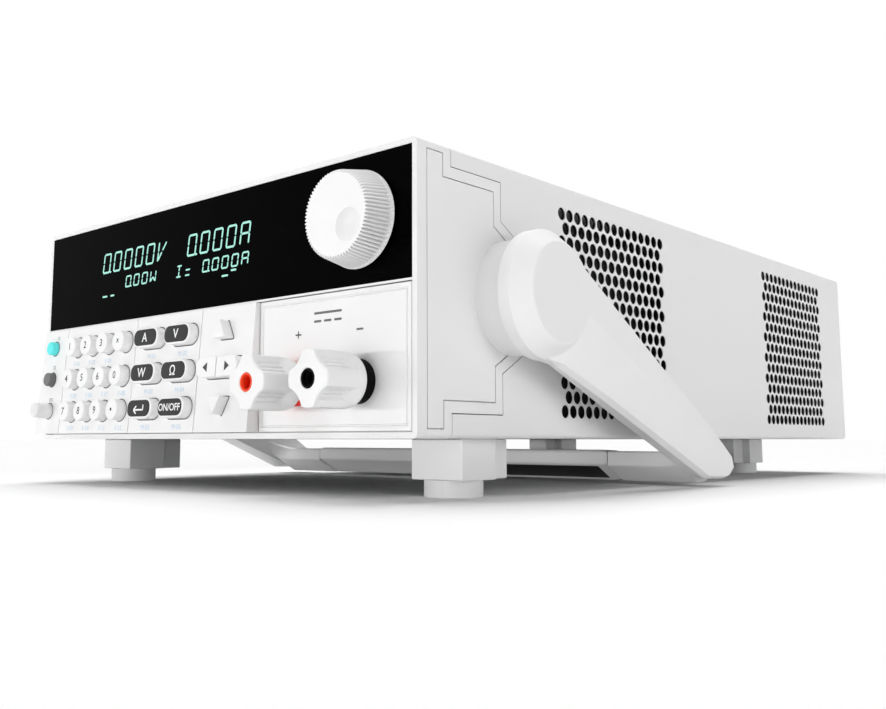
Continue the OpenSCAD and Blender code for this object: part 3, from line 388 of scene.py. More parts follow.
def readout():
    """All characters: bars between points of a leaning cell, which is one unit wide and high."""
    zero = [(0, 0, 0, 0.49), (0, 0.51, 0, 1), (0, 1, 1, 1), (1, 1, 1, 0.51), (1, 0.49, 1, 0), (1, 0, 0, 0)]
    marks = {
        "0": zero,
        ".": [(1.02, 0.0, 1.32, 0.0)],
        "A": zero[:5] + [(0.05, 0.5, 0.95, 0.5)],
        "V": [(0, 0, 0, 0.49), (0, 0.51, 0, 1), (0.05, 0.06, 0.5, 0.48), (0.55, 0.54, 1.05, 0.96)],
        "W": [(0, 0, 0, 0.49), (0, 0.51, 0, 1), (1, 1, 1, 0.51), (1, 0.49, 1, 0), (0.05, 0.05, 0.5, 0.45),
              (0.5, 0.45, 0.95, 0.05)],
        "I": [(0, 1, 1, 1), (0.5, 0.96, 0.5, 0.51), (0.5, 0.49, 0.5, 0.04), (0, 0, 1, 0)],
        "=": [(0, 0.52, 1, 0.52), (0, 0.02, 1, 0.02)],
    }
    lean = 0.15
    # Each line: its characters, left end, foot and pitch, then a character's width, height and thickness
    lines = [("0 0 0 0 0 V", -63.7, 66.9, 7.75, 4.6, 7.4, 0.75),
             ("0 0 0 0 A", -5.6, 66.7, 7.7, 4.6, 7.4, 0.75),
             ("0 0 0 W", -46.7, 59.6, 5.72, 3.3, 4.1, 0.6),
             ("I =", -12.3, 59.5, 5.5, 2.8, 4.0, 0.6),
             ("0 0 0 0 A", 3.9, 59.6, 5.6, 3.3, 4.1, 0.6)]
    shells = []
    for text, left, foot, pitch, width, height, thick in lines:
        for place_in_line, mark in enumerate(text.split()):
            x0 = left + place_in_line * pitch
            bars = marks[mark] + (marks["."] if place_in_line == 0 and mark == "0" else [])
            for u0, v0, u1, v1 in bars:
                def place(u, v, out, x0=x0, foot=foot):
                    return np.stack([x0 + u + lean * v, -out, foot + v], -1)
                shells.append(stroke((u0 * width, v0 * height), (u1 * width, v1 * height), thick, place))
    # Each dash: its left end, height and right end
    dashes = [(-63.6, 57.1, -59.9), (-57.7, 57.1, -54.7), (15.2, 56.8, 19.0), (20.4, 58.3, 23.6)]
    dash_thick = 0.7
    for x0, z0, x1 in dashes:
        def place(u, v, out, z0=z0):
            return np.stack([u, -out, z0 + v], -1)
        shells.append(stroke((x0, 0), (x1, 0), dash_thick, place))
    return join(shells)


dress(acrylic(), ["display_window"])
solid("readout", readout(), "root", "display_glass", glowing())

# Keypad panel: a white wedge that leans back below the window, with three fine dividing grooves, moulded
# in satin plastic and clipped into the frame. Small pale blue marks are printed under its keys.
panel_white = moulded("panel_white", (0.83, 0.83, 0.83), 0.44)
dress(panel_white, ["keypad_panel"], 0.3)
press = np.array(next(joint for joint in frame["joints"] if joint["name"] == "key_1_press")["axis"])
outward = -press
upward = np.array([0.0, outward[2], -outward[1]])


def node_points(name):
    """Vertices of a construction piece, in millimetres on the object."""
    mesh = frame["nodes"][name].data
    flat = np.empty(3 * len(mesh.vertices), np.float32)
    mesh.vertices.foreach_get("co", flat)
    return (flat.reshape(-1, 3).astype(float) - corner) / 0.001


panel_level = (node_points("keypad_panel") @ outward).max()


def on_key(name):
    """Frame of one key: a function that maps (across, up, height over the panel) and the key's height."""
    points = node_points(name)
    levels = points @ outward
    front = points[levels > levels.max() - 0.01]
    centre = (front.min(0) + front.max(0)) / 2
    height = levels.max() - panel_level

    def place(u, v, h):
        u, v, h = np.broadcast_arrays(u, v, h)
        return (centre + u[..., None] * np.array([1.0, 0, 0]) + v[..., None] * upward
                + (h - height)[..., None] * outward)
    return place, height


def rounded(corners, radius, shrink=0.0, steps=5):
    """Polygon (anticlockwise) with its sides moved inwards by shrink and each corner turned into an arc."""
    corners = np.asarray(corners, float)
    ahead = np.roll(corners, -1, 0) - corners
    unit = ahead / np.linalg.norm(ahead, axis=1, keepdims=True)
    before = np.roll(unit, 1, 0)
    inward = np.stack([-unit[:, 1], unit[:, 0]], 1)
    inward_before = np.roll(inward, 1, 0)
    share = 1 + (inward * inward_before).sum(1, keepdims=True)
    corners = corners + shrink * (inward + inward_before) / share
    turn = np.arctan2(before[:, 0] * unit[:, 1] - before[:, 1] * unit[:, 0], (before * unit).sum(1))
    sides = np.linalg.norm(np.roll(corners, -1, 0) - corners, axis=1)
    room = 0.499 * np.minimum(sides, np.roll(sides, 1))
    trim = np.minimum(np.maximum(radius - shrink, 0.02) * np.tan(np.abs(turn) / 2), room)
    arc = trim / np.tan(np.abs(turn) / 2)
    begin = corners - before * trim[:, None]
    middle = begin + inward_before * (arc * np.sign(turn))[:, None]
    spoke = begin - middle
    angle = turn[:, None] * np.linspace(0, 1, steps + 1)
    x = middle[:, :1] + spoke[:, :1] * np.cos(angle) - spoke[:, 1:] * np.sin(angle)
    y = middle[:, 1:] + spoke[:, :1] * np.sin(angle) + spoke[:, 1:] * np.cos(angle)
    return np.stack([x, y], -1).reshape(-1, 2)


def box_outline(width, depth, radius, steps=8):
    """Function of shrink: rectangle about the origin with rounded corners."""
    half_w = width / 2
    half_d = depth / 2
    corners = [(-half_w, -half_d), (half_w, -half_d), (half_w, half_d), (-half_w, half_d)]
    return lambda shrink: rounded(corners, radius, shrink, steps)


def disc_outline(radius, count=48):
    """Function of shrink: circle about the origin."""
    angle = np.linspace(0, 2 * math.pi, count, endpoint=False)
    ring = np.stack([np.cos(angle), np.sin(angle)], 1)
    return lambda shrink: (radius - shrink) * ring


def over_edge(top, radius, steps=5):
    """Pairs of shrink and height that carry an outline over a rounded edge up to the top."""
    angle = np.linspace(0, math.pi / 2, steps + 1)
    return list(zip(radius * (1 - np.cos(angle)), top - radius + radius * np.sin(angle)))


def stack(outline, levels, place):
    """Closed shell of one outline carried through pairs of shrink and height."""
    rings = []
    for shrink, height in levels:
        flat = outline(shrink)
        rings.append(place(flat[:, 0], flat[:, 1], np.full(len(flat), height)))
    return loft(rings)


def letters(text, height, bold=0.0):
    """Outline letters, centred on the origin: points (u, v, thickness from 0 to the ink's) and faces."""
    capital = 0.72
    half_ink = 0.015
    curve = bpy.data.curves.new("letters", "FONT")
    curve.body = text
    curve.size = height / capital
    curve.align_x = "CENTER"
    curve.extrude = half_ink
    curve.offset = bold
    curve.resolution_u = 4
    holder = bpy.data.objects.new("letters", curve)
    bpy.context.scene.collection.objects.link(holder)
    made = bpy.data.meshes.new_from_object(holder.evaluated_get(bpy.context.evaluated_depsgraph_get()))
    flat = np.empty(3 * len(made.vertices), np.float32)
    made.vertices.foreach_get("co", flat)
    points = flat.reshape(-1, 3).astype(float)
    faces = [list(face.vertices) for face in made.polygons]
    bpy.data.objects.remove(holder)
    bpy.data.curves.remove(curve)
    bpy.data.meshes.remove(made)
    middle = (points[:, :2].min(0) + points[:, :2].max(0)) / 2
    points[:, :2] -= middle
    points[:, 2] += half_ink
    return points, faces


def ink(name, colour):
    """Screen printing ink: a thin film, its edges and tone a little uneven."""
    material, shader, point = start(name, {"Specular IOR Level": 0.3})
    uneven = noise(point, 3200, 2)
    lighter = [1 - 0.93 * (1 - part) for part in colour]
    feed(shader, {"Base Color": blend(uneven, colour, lighter), "Roughness": 0.5 + 0.12 * uneven})
    return material


def printed(texts, place):
    """Letters set on a plane: each text with its centre, height and boldness."""
    shells = []
    for text, u, v, height, bold in texts:
        points, faces = letters(text, height, bold)
        shells.append((place(points[:, 0] + u, points[:, 1] + v, points[:, 2]), faces))
    return join(shells)


black_ink = ink("black_ink", (0.012, 0.012, 0.013))
blue_ink = ink("blue_ink", (0.50, 0.63, 0.76))
grey_ink = ink("grey_ink", (0.10, 0.10, 0.105))
white_ink = ink("white_ink", (0.85, 0.85, 0.85))

# Keys: 25 separate caps that press into the panel, each with a lip behind it. Digits are round and white,
# function keys are white bars with a dark face, the side buttons are round; their marks are printed.
key_white = moulded("key_white", (0.84, 0.84, 0.84), 0.42, 3600.0)
key_dark = moulded("key_dark", (0.018, 0.018, 0.019), 0.55, 3600.0, 0.25)
lip_back = -3.3
lip_front = -2.3
lip_width = 0.9
gap_near = 0.08
gap_far = 0.4
gap_film = 0.03


def key_shell(outline, top, edge, place):
    """Key cap: lip behind the panel, shaft through it, rounded front edge."""
    levels = [(-lip_width, lip_back), (-lip_width, lip_front), (0, lip_front)]
    return stack(outline, levels + over_edge(top, edge), place)


def gap_shade_ring(outline, place):
    """Painted shade of a key's hole: a thin dark band on the panel around the key's outline."""
    rings = []
    for grow, height in ((gap_near, 0.0), (gap_far, 0.0), (gap_far, gap_film), (gap_near, gap_film)):
        flat = outline(-grow)
        rings.append(place(flat[:, 0], flat[:, 1], np.full(len(flat), height)))
    return loft(rings, ends=False)


def lay(place, height):
    """The key's frame with its front face as the zero of height."""
    return lambda u, v, h: place(u, v, h + height)


# Dark bands around the keys: painted shade of their holes.
gap_shades = []
digit_outline = disc_outline(4.0)
digit_edge = 0.45
mark_size = {"x": 2.4, ".": 7.0}
digits = {"key_1": "1", "key_2": "2", "key_3": "3", "key_esc": "x", "key_4": "4", "key_5": "5", "key_6": "6",
          "key_0": "0", "key_7": "7", "key_8": "8", "key_9": "9", "key_dot": "."}
for key, mark in digits.items():
    place, height = on_key(key)
    gap_shades.append(gap_shade_ring(digit_outline, place))
    shell = key_shell(digit_outline, height, digit_edge, place)
    solid(key + "_cap", shell, key, "key_white", key_white, [key])
    shell = printed([(mark, 0, 0, mark_size.get(mark, 2.9), 0.03)], lay(place, height))
    solid(key + "_mark", shell, key, "key_dark", black_ink)

bars = {"key_amp": "A", "key_volt": "V", "key_watt": "W", "key_ohm": "Ω", "key_enter": "↵",
        "key_on_off": "ON/OFF"}
bar_outline = box_outline(16, 7.5, 3.7)
bar_edge = 0.4
face_outline = box_outline(14.3, 6.0, 2.7)
face_edge = 0.2
face_depth = 0.25
arrow_width = 0.6
arrow = [((3.2, 1.4), (3.2, -0.9)), ((3.5, -0.6), (-2.6, -0.6)), ((-2.9, -0.6), (-1.0, 0.9)),
         ((-2.9, -0.6), (-1.0, -2.1))]
for key, mark in bars.items():
    place, height = on_key(key)
    level = lay(place, height)
    gap_shades.append(gap_shade_ring(bar_outline, place))
    shell = key_shell(bar_outline, height - face_depth, bar_edge, place)
    solid(key + "_cap", shell, key, "key_white", key_white, [key])
    sides = [(0, height - face_depth - face_edge)] + over_edge(height, face_edge)
    solid(key + "_face", stack(face_outline, sides, place), key, "key_dark", key_dark)
    if mark == "↵":
        shell = join([stroke(tail, head, arrow_width, level) for tail, head in arrow])
    else:
        shell = printed([(mark, 0, 0, 2.6 if len(mark) > 1 else 3.5, 0.05)], level)
    solid(key + "_mark", shell, key, "key_white", white_ink)

buttons = {"shift_button": (2.8, "button_cyan", (0.11, 0.80, 0.79)),
           "local_button": (2.8, "button_grey", (0.13, 0.13, 0.13)),
           "power_button": (3.1, "button_light", (0.76, 0.76, 0.76))}
button_edge = 0.6
for key, (radius, slot, colour) in buttons.items():
    place, height = on_key(key)
    gap_shades.append(gap_shade_ring(disc_outline(radius), place))
    shell = key_shell(disc_outline(radius), height, button_edge, place)
    solid(key + "_cap", shell, key, slot, moulded(slot, colour, 0.4, 3600.0), [key])

half_up = 3.2
half_base = 3.5
for key, side in {"key_up": 1, "key_down": -1}.items():
    place, height = on_key(key)
    triangle = np.array([(0, half_up), (-half_base, -half_up), (half_base, -half_up)]) * side

    def arrow_outline(shrink):
        """Triangle of this arrow key."""
        return rounded(triangle, 0.25, shrink)
    gap_shades.append(gap_shade_ring(arrow_outline, place))
    shell = key_shell(arrow_outline, height, 0.2, place)
    solid(key + "_cap", shell, key, "key_white", key_white, [key])

half_w = 5.6
half_h = 3.5
wedge = np.array([(1.5, 0), (-1.0, 1.7), (-1.0, -1.7)])
for key, side in {"key_left": -1, "key_right": 1}.items():
    place, height = on_key(key)
    outer_end = np.array([side < 0, side > 0, side > 0, side < 0])
    radii = np.where(outer_end, 3.45, 0.2)

    def half_pill(shrink):
        """Rectangle whose outer end is round."""
        return rounded([(-half_w, -half_h), (half_w, -half_h), (half_w, half_h), (-half_w, half_h)],
                       radii, shrink)
    gap_shades.append(gap_shade_ring(half_pill, place))
    shell = key_shell(half_pill, height, 0.35, place)
    solid(key + "_cap", shell, key, "key_white", key_white, [key])
    level = lay(place, height)
    rings = [level(wedge[:, 0] * side, wedge[:, 1] * side, np.full(3, rise)) for rise in (0, gap_film)]
    solid(key + "_mark", loft(rings), key, "key_dark", black_ink)


def on_panel(u, v, h):
    """Frame of the keypad's face: across, up along the face from its lower edge, out of it."""
    lower_edge = np.array([0.0, -4.8, 2.2])
    u, v, h = np.broadcast_arrays(u, v, h)
    return lower_edge + u[..., None] * np.array([1.0, 0, 0]) + v[..., None] * upward + h[..., None] * outward


# One thin dark band on the panel around every key, painted shade of the key holes.
solid("key_gap_shades", join(gap_shades), "root", "key_dark", rubber("key_hole_shade", (0.06, 0.06, 0.06)))
rows = [35.0, 21.85, 8.7]
digit_columns = [-76.4, -64.4, -52.4, -40.4]
bar_columns = [-22.15, -2.45]
legend_left = 0.4
legend_down = 6.6
legend_h = 1.95
under = []
for row, v in enumerate(rows):
    for letter, columns in (("F", digit_columns), ("M", bar_columns)):
        for column, u in enumerate(columns):
            number = len(columns) * row + column + 1
            if (letter, number) != ("F", 4):
                under.append((f"{letter}-{number:02}", u - legend_left, v - legend_down, legend_h, 0.0))
solid("key_legends", printed(under, on_panel), "root", "panel_white", blue_ink)
side_h = 1.5
above = [("S1", -93.8, 40.2, side_h, 0.0), ("S2", -94.9, 27.7, side_h, 0.0),
         ("I/O", -94.9, 14.2, side_h, 0.0)]
solid("side_legends", printed(above, on_panel), "root", "panel_white", grey_ink)

# Terminal panel and binding posts: a white panel with a border groove, brass posts through it, and on each
# a coloured collar, a washer and a screw cap with a coloured sleeve in its front.
dress(panel_white, ["terminal_panel"], 0.25)


def brass(lined):
    """Turned brass; in front of the panel its end is coloured as its pole, red to the left of lined."""
    material, shader, point = start("brass", {})
    turning = noise(stretched(point, (300, 3000, 300)), 1.0, 2)
    pole = blend(part_of(point, 0) < lined, (0.002, 0.002, 0.002), (0.95, 0.03, 0.004))
    metal = blend(turning, (0.62, 0.44, 0.16), (0.74, 0.54, 0.24))
    in_front = part_of(point, 1) < front_y
    feed(shader, {"Base Color": blend(in_front, metal, pole), "Metallic": 1.0 - in_front,
                  "Roughness": 0.3 + 0.2 * turning})
    return material


post_x = {"red": 56.3875, "black": 84.1875}
post_z = 17.05
dress(brass((post_x["red"] + post_x["black"]) / 2000), ["terminal_posts"])
insulators = {"red": moulded("insulator_red", (0.85, 0.015, 0.002), 0.5, 3600.0, 0.15),
              "black": moulded("insulator_black", (0.0015, 0.0015, 0.0015), 0.6, 3600.0, 0.06)}
sleeves = {"red": moulded("sleeve_red", (0.96, 0.075, 0.018), 0.5, 3600.0), "black": insulators["black"]}
cap_white = moulded("cap_white", (0.82, 0.82, 0.82), 0.42, 3200.0)
cap_back, cap_front = -4.5, -21.0
waist, reach, scallop = 6.6, 8.5, 9.0
skirt_r, dome_l = 7.4, 3.2
groove_w, groove_depth = 0.045, 0.6
groove_spots = (-0.27, 0.0, 0.27)
groove_back, groove_front = -10.2, -19.8
cap_edge = 0.6
bore_r, mouth_r, mouth_y = 4.2, 2.95, -19.3


def cap_shell(x0):
    """Screw cap as radius over angle and depth: four lobes whose scallops fade into a round skirt, three
    fine grooves in each scallop, a bore from end to end."""
    count = 960
    angle = np.linspace(0, 2 * math.pi, count, endpoint=False)
    turn = angle % (math.pi / 2) - math.pi / 4
    centre = waist + scallop
    across = centre * np.sin(np.abs(turn))
    hollow = centre * np.cos(turn) - np.sqrt(np.maximum(scallop ** 2 - across ** 2, 0))
    hollow = np.where(across < scallop, np.minimum(hollow, reach + 1), reach + 1)
    sharp = 9
    lobed = -np.log(np.exp(-sharp * hollow) + math.exp(-sharp * reach)) / sharp
    groove = sum(np.exp(-((turn - spot) / groove_w) ** 4) for spot in groove_spots)
    rings = []
    for y in np.concatenate([np.linspace(cap_back, -8.2, 14), np.linspace(-8.5, -20.3, 40)]):
        fade = np.clip((-y - 6.2) / 5.0, 0, 1)
        fade = fade * fade * (3 - 2 * fade)
        dome = np.clip((cap_back - y) / dome_l, 0, 1)
        skirt = skirt_r + (reach - skirt_r) * math.sqrt(1 - (1 - dome) ** 2)
        cut = np.clip((groove_back - y) / 0.5, 0, 1) * np.clip((y - groove_front) / 0.4, 0, 1)
        radius = np.minimum(fade * lobed + (1 - fade) * reach, skirt) - groove_depth * cut * groove
        rings.append((radius, y))
    for a in np.linspace(0, math.pi / 2, 6):
        rings.append((lobed - cap_edge * (1 - math.cos(a)), cap_front + cap_edge - cap_edge * math.sin(a)))
    for radius, y in [(mouth_r + 0.2, cap_front), (mouth_r, cap_front + 0.2), (mouth_r, mouth_y),
                      (bore_r, mouth_y), (bore_r, cap_back)]:
        rings.append((np.full(count, radius), y))
    points = [np.stack([x0 + radius * np.cos(angle), np.full(count, y), post_z + radius * np.sin(angle)], 1)
              for radius, y in rings]
    return loft(points, ends=False)


for pole, x0 in post_x.items():
    dress(insulators[pole], ["collar_" + pole], 0.25)
    dress(sleeves[pole], ["sleeve_" + pole], 0.25)
    solid("screw_cap_" + pole, cap_shell(x0), "cap_" + pole, "cap_white", cap_white, ["cap_" + pole], 30)


def on_front(u, v, h):
    """Frame of the front plane: across, up, out of it."""
    u, v, h = np.broadcast_arrays(u, v, h)
    return np.stack([u, -h, v], -1)


# Each mark: its two ends and its width, for a plus, a minus and the direct current sign of one bar
# over three dashes
dash_l, dash_z = 3.6, 36.7
marks = [((54.9, 33.0), (57.9, 33.0), 0.55), ((56.4, 31.7), (56.4, 34.3), 0.5),
         ((82.6, 32.9), (85.8, 32.9), 0.65), ((63.6, 39.3), (76.4, 39.3), 0.75)]
for dash_x in (63.6, 68.2, 72.8):
    marks.append(((dash_x, dash_z), (dash_x + dash_l, dash_z), 0.75))
shell = join([stroke(tail, head, width, on_front) for tail, head, width in marks])
solid("pole_marks", shell, "root", "panel_white", grey_ink)

# Knob: white moulded cap pushed on the encoder's shaft, a cone with fine flutes that run out into the edge
# of its face, a smooth rim at the back and a finger dimple in the face.
knob_x, knob_z = 84.15, 66.325
knob_back, knob_face = -1.0, -10.9
back_r, face_r = 15.3, 13.5
hole_r, hole_end = 3.05, -7.9
flutes, flute_depth = 72, 1.4
knob_edge = 0.55
dip_r, dip_depth = 5.15, 1.9
dip_x, dip_z = 5.5, -3.9


def cone(y):
    """Radius of the knob's side, from its back to its face."""
    return back_r + (face_r - back_r) / (knob_back - knob_face) * (knob_back - y)


def knob_plastic():
    """White plastic with faint clouds; painted shade greys the bottom of the flutes and the dimple's upper
    side.
    """
    material, shader, point = start("knob_white", {"Specular IOR Level": 0.4})
    x = 1000.0 * part_of(point, 0) - knob_x
    y = 1000.0 * (part_of(point, 1) - front_y)
    z = 1000.0 * (part_of(point, 2) - under_z) - knob_z
    around = x * x + z * z
    sunk = cone(y) - around.math("POWER", around, 0.5)
    # Painted shade: the flutes grey towards their bottom.
    groove = sunk.math("MINIMUM", sunk * (1 / flute_depth), 1.0) * (sunk > 0.0)
    groove = groove * (y > knob_face + 0.45) * (around > (cone(knob_face) - flute_depth - 0.6) ** 2)
    # Painted shade in the dimple, greyer towards its upper left side.
    across = x - dip_x
    up = z - dip_z
    inside = across * across + up * up < dip_r ** 2
    rise = 0.5 + 0.5 / dip_r / math.sqrt(2) * (up - across)
    dimple_shade = rise * rise * inside * (y < knob_face + dip_depth + 1.0)
    cloud = noise(point, 45, 3)
    fine = noise(point, 3200, 3)
    unshaded = blend(cloud, (0.80, 0.80, 0.80), (0.84, 0.84, 0.84))
    toned = blend(0.3 * groove + 0.22 * dimple_shade, unshaded, (0.35, 0.35, 0.35))
    feed(shader, {"Base Color": toned, "Roughness": 0.39 + 0.12 * fine, "Normal": bump(fine, 0.16, 0.00006)})
    return material


def knob_shell():
    """Radius over angle and depth for the fluted side, then depth over angle and radius for the face."""
    count = flutes * 9
    angle = np.linspace(0, 2 * math.pi, count, endpoint=False)
    flute = (0.5 - 0.5 * np.cos(flutes * angle)) ** 1.2
    back, face = knob_back, knob_face
    rear = [(hole_r, hole_end), (hole_r, back), (back_r - 0.3, back), (back_r - 0.02, back - 0.15),
            (back_r - 0.08, back - 0.5)]
    rings = [(np.full(count, radius), y) for radius, y in rear]
    for y in np.linspace(back - 0.6, face + knob_edge, 22):
        enter = np.clip((back - 0.6 - y) / 0.35, 0, 1)
        rings.append((cone(y) - flute_depth * enter * flute, y))
    for a in np.linspace(0.25, math.pi / 2, 6):
        bow = knob_edge * (1 - math.cos(a))
        rest = 1 - 0.55 * math.sin(a)
        rings.append((cone(face) - bow - flute_depth * rest * flute, face + knob_edge * (1 - math.sin(a))))
    points = [np.stack([radius * np.cos(angle), np.full(count, y), radius * np.sin(angle)], 1)
              for radius, y in rings]
    rim = rings[-1][0]
    ball = (dip_r ** 2 + dip_depth ** 2) / (2 * dip_depth)
    for share in np.linspace(0.985, 0.004, 80):
        x = share * rim * np.cos(angle)
        z = share * rim * np.sin(angle)
        away = np.hypot(x - dip_x, z - dip_z)
        bowl = np.sqrt(np.maximum(ball ** 2 - away ** 2, 0)) - (ball - dip_depth)
        steep = 1 + 0.85 * np.clip((dip_x - x + z - dip_z) / (math.sqrt(2) * dip_r), -1, 1)
        dip = steep * 0.5 * (bowl + np.sqrt(bowl ** 2 + 0.0015))
        points.append(np.stack([x, face + dip - 0.002, z], 1))
    rings = np.array(points)
    rings[..., 0] += knob_x
    rings[..., 2] += knob_z
    return loft(rings)


solid("knob_cap", knob_shell(), "knob", "knob_white", knob_plastic(), ["knob"], 40)

# Bail: two arms on the hubs, a crossbar with an elbow at each end and a grip over its middle, all satin
# off-white plastic. It rests swung down, 27.6 degrees below the horizontal, with a bare plate on the grip.
bail_white = moulded("bail_white", (0.81, 0.81, 0.81), 0.46)
hub_y, hub_z = 45.3, 44.65
slope = math.radians(27.6)
arm_x = 117.4


def on_bail(p, q, x):
    """Frame of the bail: along an arm from the hub, across it, and sideways from the middle of the case."""
    p, q, x = np.broadcast_arrays(p, q, x)
    return np.stack([x, hub_y + p * math.cos(slope) + q * math.sin(slope),
                     hub_z - p * math.sin(slope) + q * math.cos(slope)], -1)


def arm_shell(side):
    """Arm as its outer height over the plane of its sides: a coned disc and two facets that meet in a
    ridge, whichever is higher; along the lower edge a chamfer, then a flank that turns in to the case."""
    disc, face, rim, thick = 20.6, 15.8, 4.0, 9.7
    neck, slant, tip = 114.3, 127.8, 131.0
    upper_q = [10.2, 8.9, 5.7]
    lower_q = [-7.8, -1.05, 5.7]
    upper_r, lower_r = 14.6, 19.2
    chamfer = 1.5
    edge = 0.4

    def tangent(radius, q_end, up):
        """Height of the line through the neck's corner that touches a circle about the hub."""
        reach = math.hypot(neck, q_end)
        normal = math.atan2(q_end, neck) + up * math.acos(radius / reach)
        return lambda p: (radius - p * math.cos(normal)) / math.sin(normal)
    upper_line = tangent(upper_r, upper_q[0], 1)
    lower_line = tangent(lower_r, lower_q[0], -1)
    ends = [neck, slant, tip]

    def upper(p):
        """Upper edge: the tangent as far as the neck, then straight to the tip."""
        return np.where(p > neck, np.interp(p, ends, upper_q), upper_line(p))

    def lower(p):
        """Lower edge: the tangent as far as the neck, then up to the tip."""
        return np.where(p > neck, np.interp(p, ends, lower_q), lower_line(p))
    around = -disc * np.cos(np.linspace(0.03, 2.0, 80))
    clear = 26.0
    stations = np.concatenate([around, np.linspace(around[-1] + 0.4, clear, 40)[:-1],
                               np.linspace(clear, neck, 60)[:-1], np.linspace(neck, slant, 14)[:-1],
                               np.linspace(slant, tip - 0.02, 12)])
    p = stations[:, None]
    circle = np.sqrt(np.maximum(disc ** 2 - p ** 2, 0))
    top = np.maximum(circle, np.where(p > 0, upper(p), 0))
    low = np.minimum(-circle, np.where(p > 0, lower(p), 0))
    room = np.clip((p - 9) / 6, 0, 1) * np.clip((top - low) / 6, 0, 1)
    share = 0.5 - 0.5 * np.cos(np.linspace(0, math.pi, 97))
    q = low + chamfer * room + (top - low - chamfer * room) * share
    reach = np.hypot(p, q)
    past = reach - face
    cone = thick - (thick - rim) / (disc - face) * 0.5 * (past + np.sqrt(past ** 2 + 0.03))
    ridge = 1.9 + (p - 17) * 0.0379
    fall = np.interp(p, [10, 40, 110], [0.24, 0.14, 0.05])
    lift = np.interp(p, [10, 50], [0.0, 0.035])
    above = q - ridge
    bend = np.sqrt(above ** 2 + 0.05)
    facets = thick - lift * 0.5 * (bend + above) - fall * 0.5 * (bend - above)
    inset = upper(p) - q
    round_off = edge - np.sqrt(np.maximum(edge ** 2 - np.clip(edge - inset, 0, edge) ** 2, 0))
    on_arm = (p > 0) & (inset > -1e-6) & (q > lower(p) - 1e-6)
    arm = np.where(on_arm, facets - round_off, -5.0)
    outer = np.maximum(np.where(reach < disc + 0.01, np.maximum(cone, rim - 0.2), 0.4), arm)
    edge_x = outer[:, :1]
    turn_in = np.interp(p, [60, 115], [1.6, 2.6])
    flank = np.concatenate([low + turn_in * room, low + 0.4 * room], 1)
    flank_x = np.concatenate([0 * p, 0.98 * edge_x - 2.0 * room], 1)
    ring_q = np.concatenate([flank, q, top, top], 1)
    ring_x = np.concatenate([flank_x, outer, 0.5 * outer[:, -1:], 0 * p], 1)
    return loft(on_bail(np.broadcast_to(p, ring_q.shape), ring_q, side * (arm_x + ring_x)))


def bored(piece, x0, x1, radius):
    """Cuts a round hole about the bail's axis out of a piece."""
    angle = np.linspace(0, 2 * math.pi, 64, endpoint=False)
    rings = [on_bail(radius * np.cos(angle), radius * np.sin(angle), np.full(64, x)) for x in (x0, x1)]
    points, faces = loft(rings)
    mesh = bpy.data.meshes.new("cutter")
    mesh.from_pydata((corner + 0.001 * points).tolist(), [], faces)
    cutter = bpy.data.objects.new("cutter", mesh)
    bpy.context.scene.collection.objects.link(cutter)
    cut = piece.modifiers.new("hole", "BOOLEAN")
    cut.operation = "DIFFERENCE"
    cut.object = cutter
    made = bpy.data.meshes.new_from_object(piece.evaluated_get(bpy.context.evaluated_depsgraph_get()))
    piece.modifiers.clear()
    piece.data = made
    bpy.data.objects.remove(cutter)
    bpy.data.meshes.remove(mesh)
    made.set_sharp_from_angle(angle=math.radians(26))


pin_r, pin_depth = 7.05, 6.3
for side, name in ((1, "bail_arm_right"), (-1, "bail_arm_left")):
    arm = solid(name + "_shell", arm_shell(side), "bail", "bail_plastic", bail_white, [name], 26)
    bored(arm, side * (arm_x - 1), side * (arm_x + pin_depth), pin_r)

bar = [(107.0, 0.2), (109.5, -5.1), (123.0, -5.1), (129.0, -1.1), (129.0, 2.85), (126.0, 5.5), (118.0, 5.5)]
grip_half = 85.0
core_in = 2.6


def bar_ring(x, shrink=0.0, flare=0.0, section=bar):
    """Cross section of the crossbar at x; flare pulls the side that faces the hub towards it."""
    outline = rounded(section, 0.9, shrink, 4)
    pull = np.clip((112.5 - outline[:, 0]) / 5.5, 0, 1)
    return on_bail(outline[:, 0] - flare * pull, outline[:, 1], np.full(len(outline), x))


def crossbar_shell():
    """Profile carried from arm to arm: full at the elbows, which flare into the arms, thinner in the grip."""
    fillet = 11.0
    half = [bar_ring(grip_half - 1.0, core_in), bar_ring(grip_half, core_in), bar_ring(grip_half, 0.2),
            bar_ring(grip_half + 0.2, 0.0)]
    for x in np.linspace(grip_half + 1.5, arm_x - fillet, 6):
        half.append(bar_ring(x))
    for a in np.linspace(0.1, 0.92 * math.pi / 2, 10):
        half.append(bar_ring(arm_x - fillet + fillet * math.sin(a), 0.0, fillet * (1 - math.cos(a))))
    half.append(bar_ring(arm_x + 0.4, 0.0, fillet * 0.9))
    half = np.array(half)
    mirror = half[::-1] * np.array([-1.0, 1.0, 1.0])
    return loft(np.concatenate([mirror, half]))


def grip_shell():
    """Sleeve over the crossbar's middle: its outer profile has a higher underside and chamfered ends."""
    end = grip_half - 0.5
    left = 0.02 - grip_half
    underside = -4.4
    proud = 0.5
    chamfer = 2.4
    bore_in = core_in - 0.1
    raised = [(p, max(q, underside)) for p, q in bar]
    outer = [(left, 0.1), (left + chamfer, -proud), (end - chamfer, -proud), (end, 0.2)]
    rings = [bar_ring(x, shrink, 0.0, raised) for x, shrink in outer]
    return loft(rings + [bar_ring(end, bore_in), bar_ring(left, bore_in)], ends=False)


solid("crossbar", crossbar_shell(), "bail", "bail_plastic", bail_white, ["bail_crossbar"])
solid("grip", grip_shell(), "bail", "bail_plastic", bail_white, ["bail_grip"])
plate_outline = box_outline(78.0, 10.6, 0.5)
plate_p, plate_q, plate_x = 115.8, -4.9, 41.0


